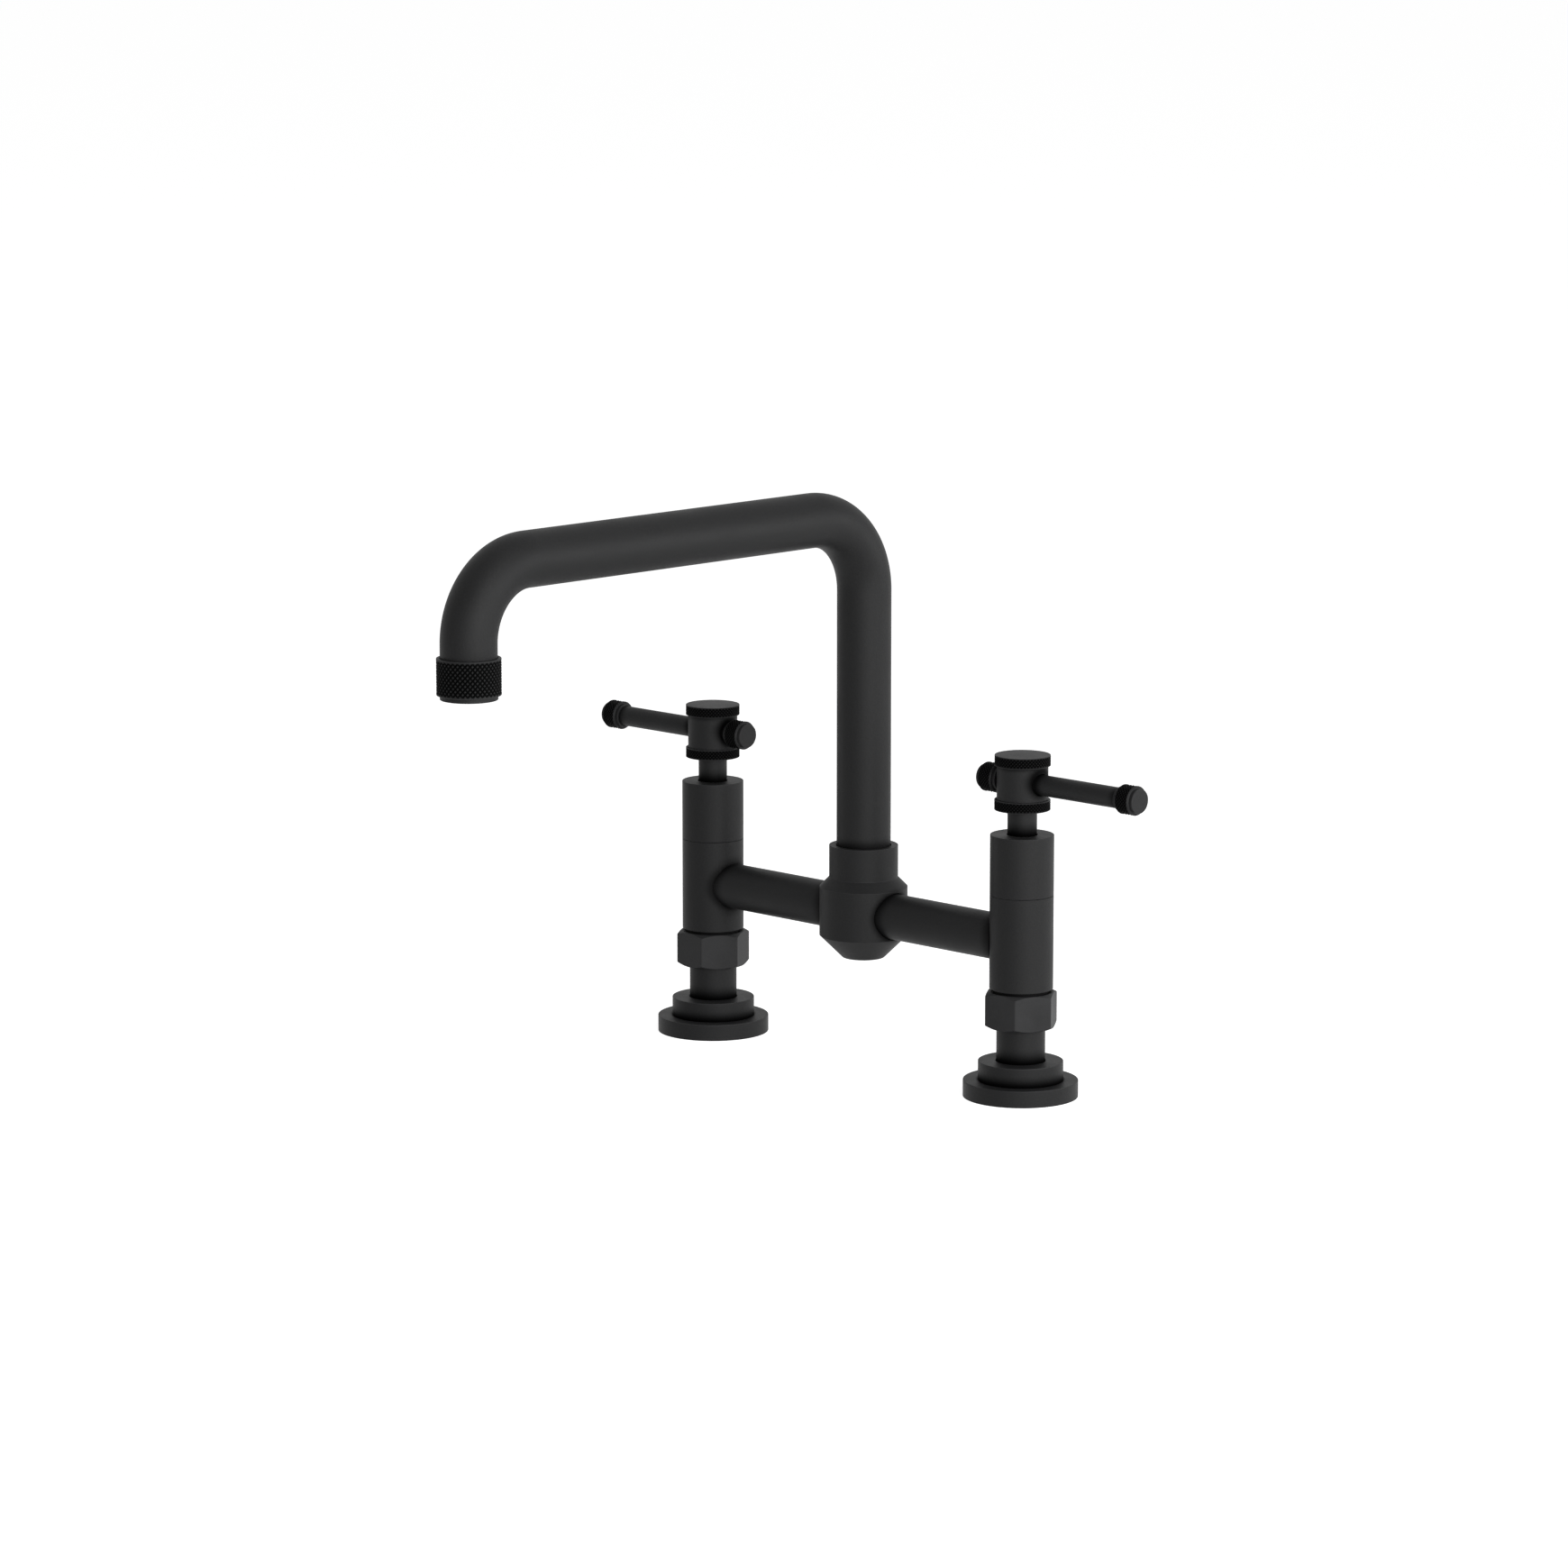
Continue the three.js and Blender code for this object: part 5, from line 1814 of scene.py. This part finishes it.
@dataclass
class Studio:
    """Floor, world, lamps and camera."""

    azimuth: float = 44.656
    """The camera's direction in degrees, as a lamp's."""
    elevation: float = 10.125
    distance: float = 2921.0
    """Millimetres from the camera to its target."""
    target: tuple[float, float, float] = (-53.068, 0.0, 127.836)
    """The point in the middle of the picture, in millimetres."""
    focal_pixels: float = 6760.7
    photo_pixels: float = 1740.0
    sensor: float = 36.0
    clip_end: float = 100.0
    """Metres that the camera sees."""
    ambient: float = 0.15
    """Strength of the light that the surroundings throw on the object."""
    floor_half: float = 20.0
    """Metres from the middle of the floor to its sides."""
    floor_shade: float = 0.86
    """How much light the floor throws back, and its glow where it is seen."""
    lamp_aim: float = 0.12
    """Metres from the floor up to the point that the lamps aim at."""
    lamps: tuple[Lamp, ...] = (
        Lamp("front_softbox", azimuth=45.0, elevation=8.0, distance=2.4, size=1.2, power=18.0),
        Lamp("low_key_softbox", azimuth=75.0, elevation=6.0, distance=2.4, size=1.2, power=36.0),
        Lamp("high_key_softbox", azimuth=75.0, elevation=40.0, distance=2.4, size=1.2, power=15.0),
        Lamp("side_softbox", azimuth=105.0, elevation=8.0, distance=2.4, size=1.2, power=21.0),
        Lamp("edge_softbox", azimuth=135.0, elevation=8.0, distance=2.4, size=1.2, power=17.0),
    )

    def build(self) -> None:
        """Set the stage."""
        self.floor()
        self.world()
        for lamp in self.lamps:
            self.softbox(lamp)
        self.camera()
        bpy.context.scene.view_settings.view_transform = "Standard"

    @staticmethod
    def direction(azimuth: float, elevation: float) -> Vector:
        """Unit vector from the object towards a place round it."""
        a, e = math.radians(azimuth), math.radians(elevation)
        return Vector((math.sin(a) * math.cos(e), -math.cos(a) * math.cos(e), math.sin(e)))

    def camera(self) -> None:
        """Camera at the photograph's viewing angle."""
        data = bpy.data.cameras.new("camera")
        data.sensor_width = self.sensor
        data.lens = self.focal_pixels / self.photo_pixels * self.sensor
        data.clip_end = self.clip_end
        camera = bpy.data.objects.new("camera", data)
        bpy.context.scene.collection.objects.link(camera)
        back = self.direction(self.azimuth, self.elevation)
        camera.location = Vector(self.target) * MM + back * self.distance * MM
        camera.rotation_mode = "QUATERNION"
        camera.rotation_quaternion = (-back).to_track_quat("-Z", "Y")
        bpy.context.scene.camera = camera

    def softbox(self, lamp: Lamp) -> None:
        """Add one lamp.

        Args:
            lamp: Its place, size and power.
        """
        data = bpy.data.lights.new(lamp.name, "AREA")
        data.shape = "SQUARE"
        data.size = lamp.size
        data.energy = lamp.power
        light = bpy.data.objects.new(lamp.name, data)
        bpy.context.scene.collection.objects.link(light)
        towards = self.direction(lamp.azimuth, lamp.elevation)
        light.location = Vector((0.0, 0.0, self.lamp_aim)) + towards * lamp.distance
        light.rotation_mode = "QUATERNION"
        light.rotation_quaternion = (-towards).to_track_quat("-Z", "Y")

    @staticmethod
    def seen_directly(nodes: NodeTree) -> Socket:
        """Build a factor that is 1 for rays of the camera, of reflections and of transmission.

        Args:
            nodes: The tree that it is for.

        Returns:
            The factor, 0 for all other rays.
        """
        path = nodes.add("ShaderNodeLightPath").outputs
        either = nodes.maths("MAXIMUM", path["Is Camera Ray"], path["Is Glossy Ray"])
        return nodes.maths("MAXIMUM", either, path["Is Transmission Ray"])

    def world(self) -> None:
        """White surroundings that light the object at a plain level."""
        world = bpy.data.worlds.new("studio")
        bpy.context.scene.world = world
        world.use_nodes = True
        nodes = NodeTree(world.node_tree)
        dim = nodes.add("ShaderNodeBackground", {"Color": (1, 1, 1, 1), "Strength": self.ambient})
        white = nodes.add("ShaderNodeBackground", {"Color": (1, 1, 1, 1), "Strength": 1.0})
        seen = self.seen_directly(nodes)
        mix = nodes.add("ShaderNodeMixShader", {0: seen, 1: dim.outputs[0], 2: white.outputs[0]})
        nodes.add("ShaderNodeOutputWorld", {"Surface": mix.outputs[0]})

    def floor(self) -> None:
        """Plain pale floor that keeps the object's shadow."""
        half, shade = self.floor_half, self.floor_shade
        mesh = bpy.data.meshes.new("floor")
        corners = [(-half, -half, 0), (half, -half, 0), (half, half, 0), (-half, half, 0)]
        mesh.from_pydata(corners, [], [(0, 1, 2, 3)])
        floor = bpy.data.objects.new("floor", mesh)
        bpy.context.scene.collection.objects.link(floor)
        material = bpy.data.materials.new("pale_floor")
        material.use_nodes = True
        nodes = NodeTree(material.node_tree)
        paint = nodes.add("ShaderNodeBsdfDiffuse", {"Color": (shade, shade, shade, 1)})
        glow = nodes.add("ShaderNodeEmission", {"Color": (1, 1, 1, 1), "Strength": shade})
        none = nodes.add("ShaderNodeEmission", {"Color": (0, 0, 0, 1), "Strength": 0.0})
        seen = self.seen_directly(nodes)
        lit = nodes.add("ShaderNodeMixShader", {0: seen, 1: none.outputs[0], 2: glow.outputs[0]})
        both = nodes.add("ShaderNodeAddShader", {0: paint.outputs[0], 1: lit.outputs[0]})
        nodes.add("ShaderNodeOutputMaterial", {"Surface": both.outputs[0]})
        mesh.materials.append(material)


def main() -> None:
    """Build the faucet and its studio."""
    logging.basicConfig(level=logging.INFO, format="%(name)s: %(message)s")
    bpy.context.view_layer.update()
    for part in (
        ValveSide(Side.LEFT, nut_turn=3.9),
        ValveSide(Side.RIGHT, nut_turn=3.3),
        Bridge(),
        Spout(),
    ):
        part.build()
    dress_hidden_nodes()
    Studio().build()


if __name__ == "__main__":
    main()
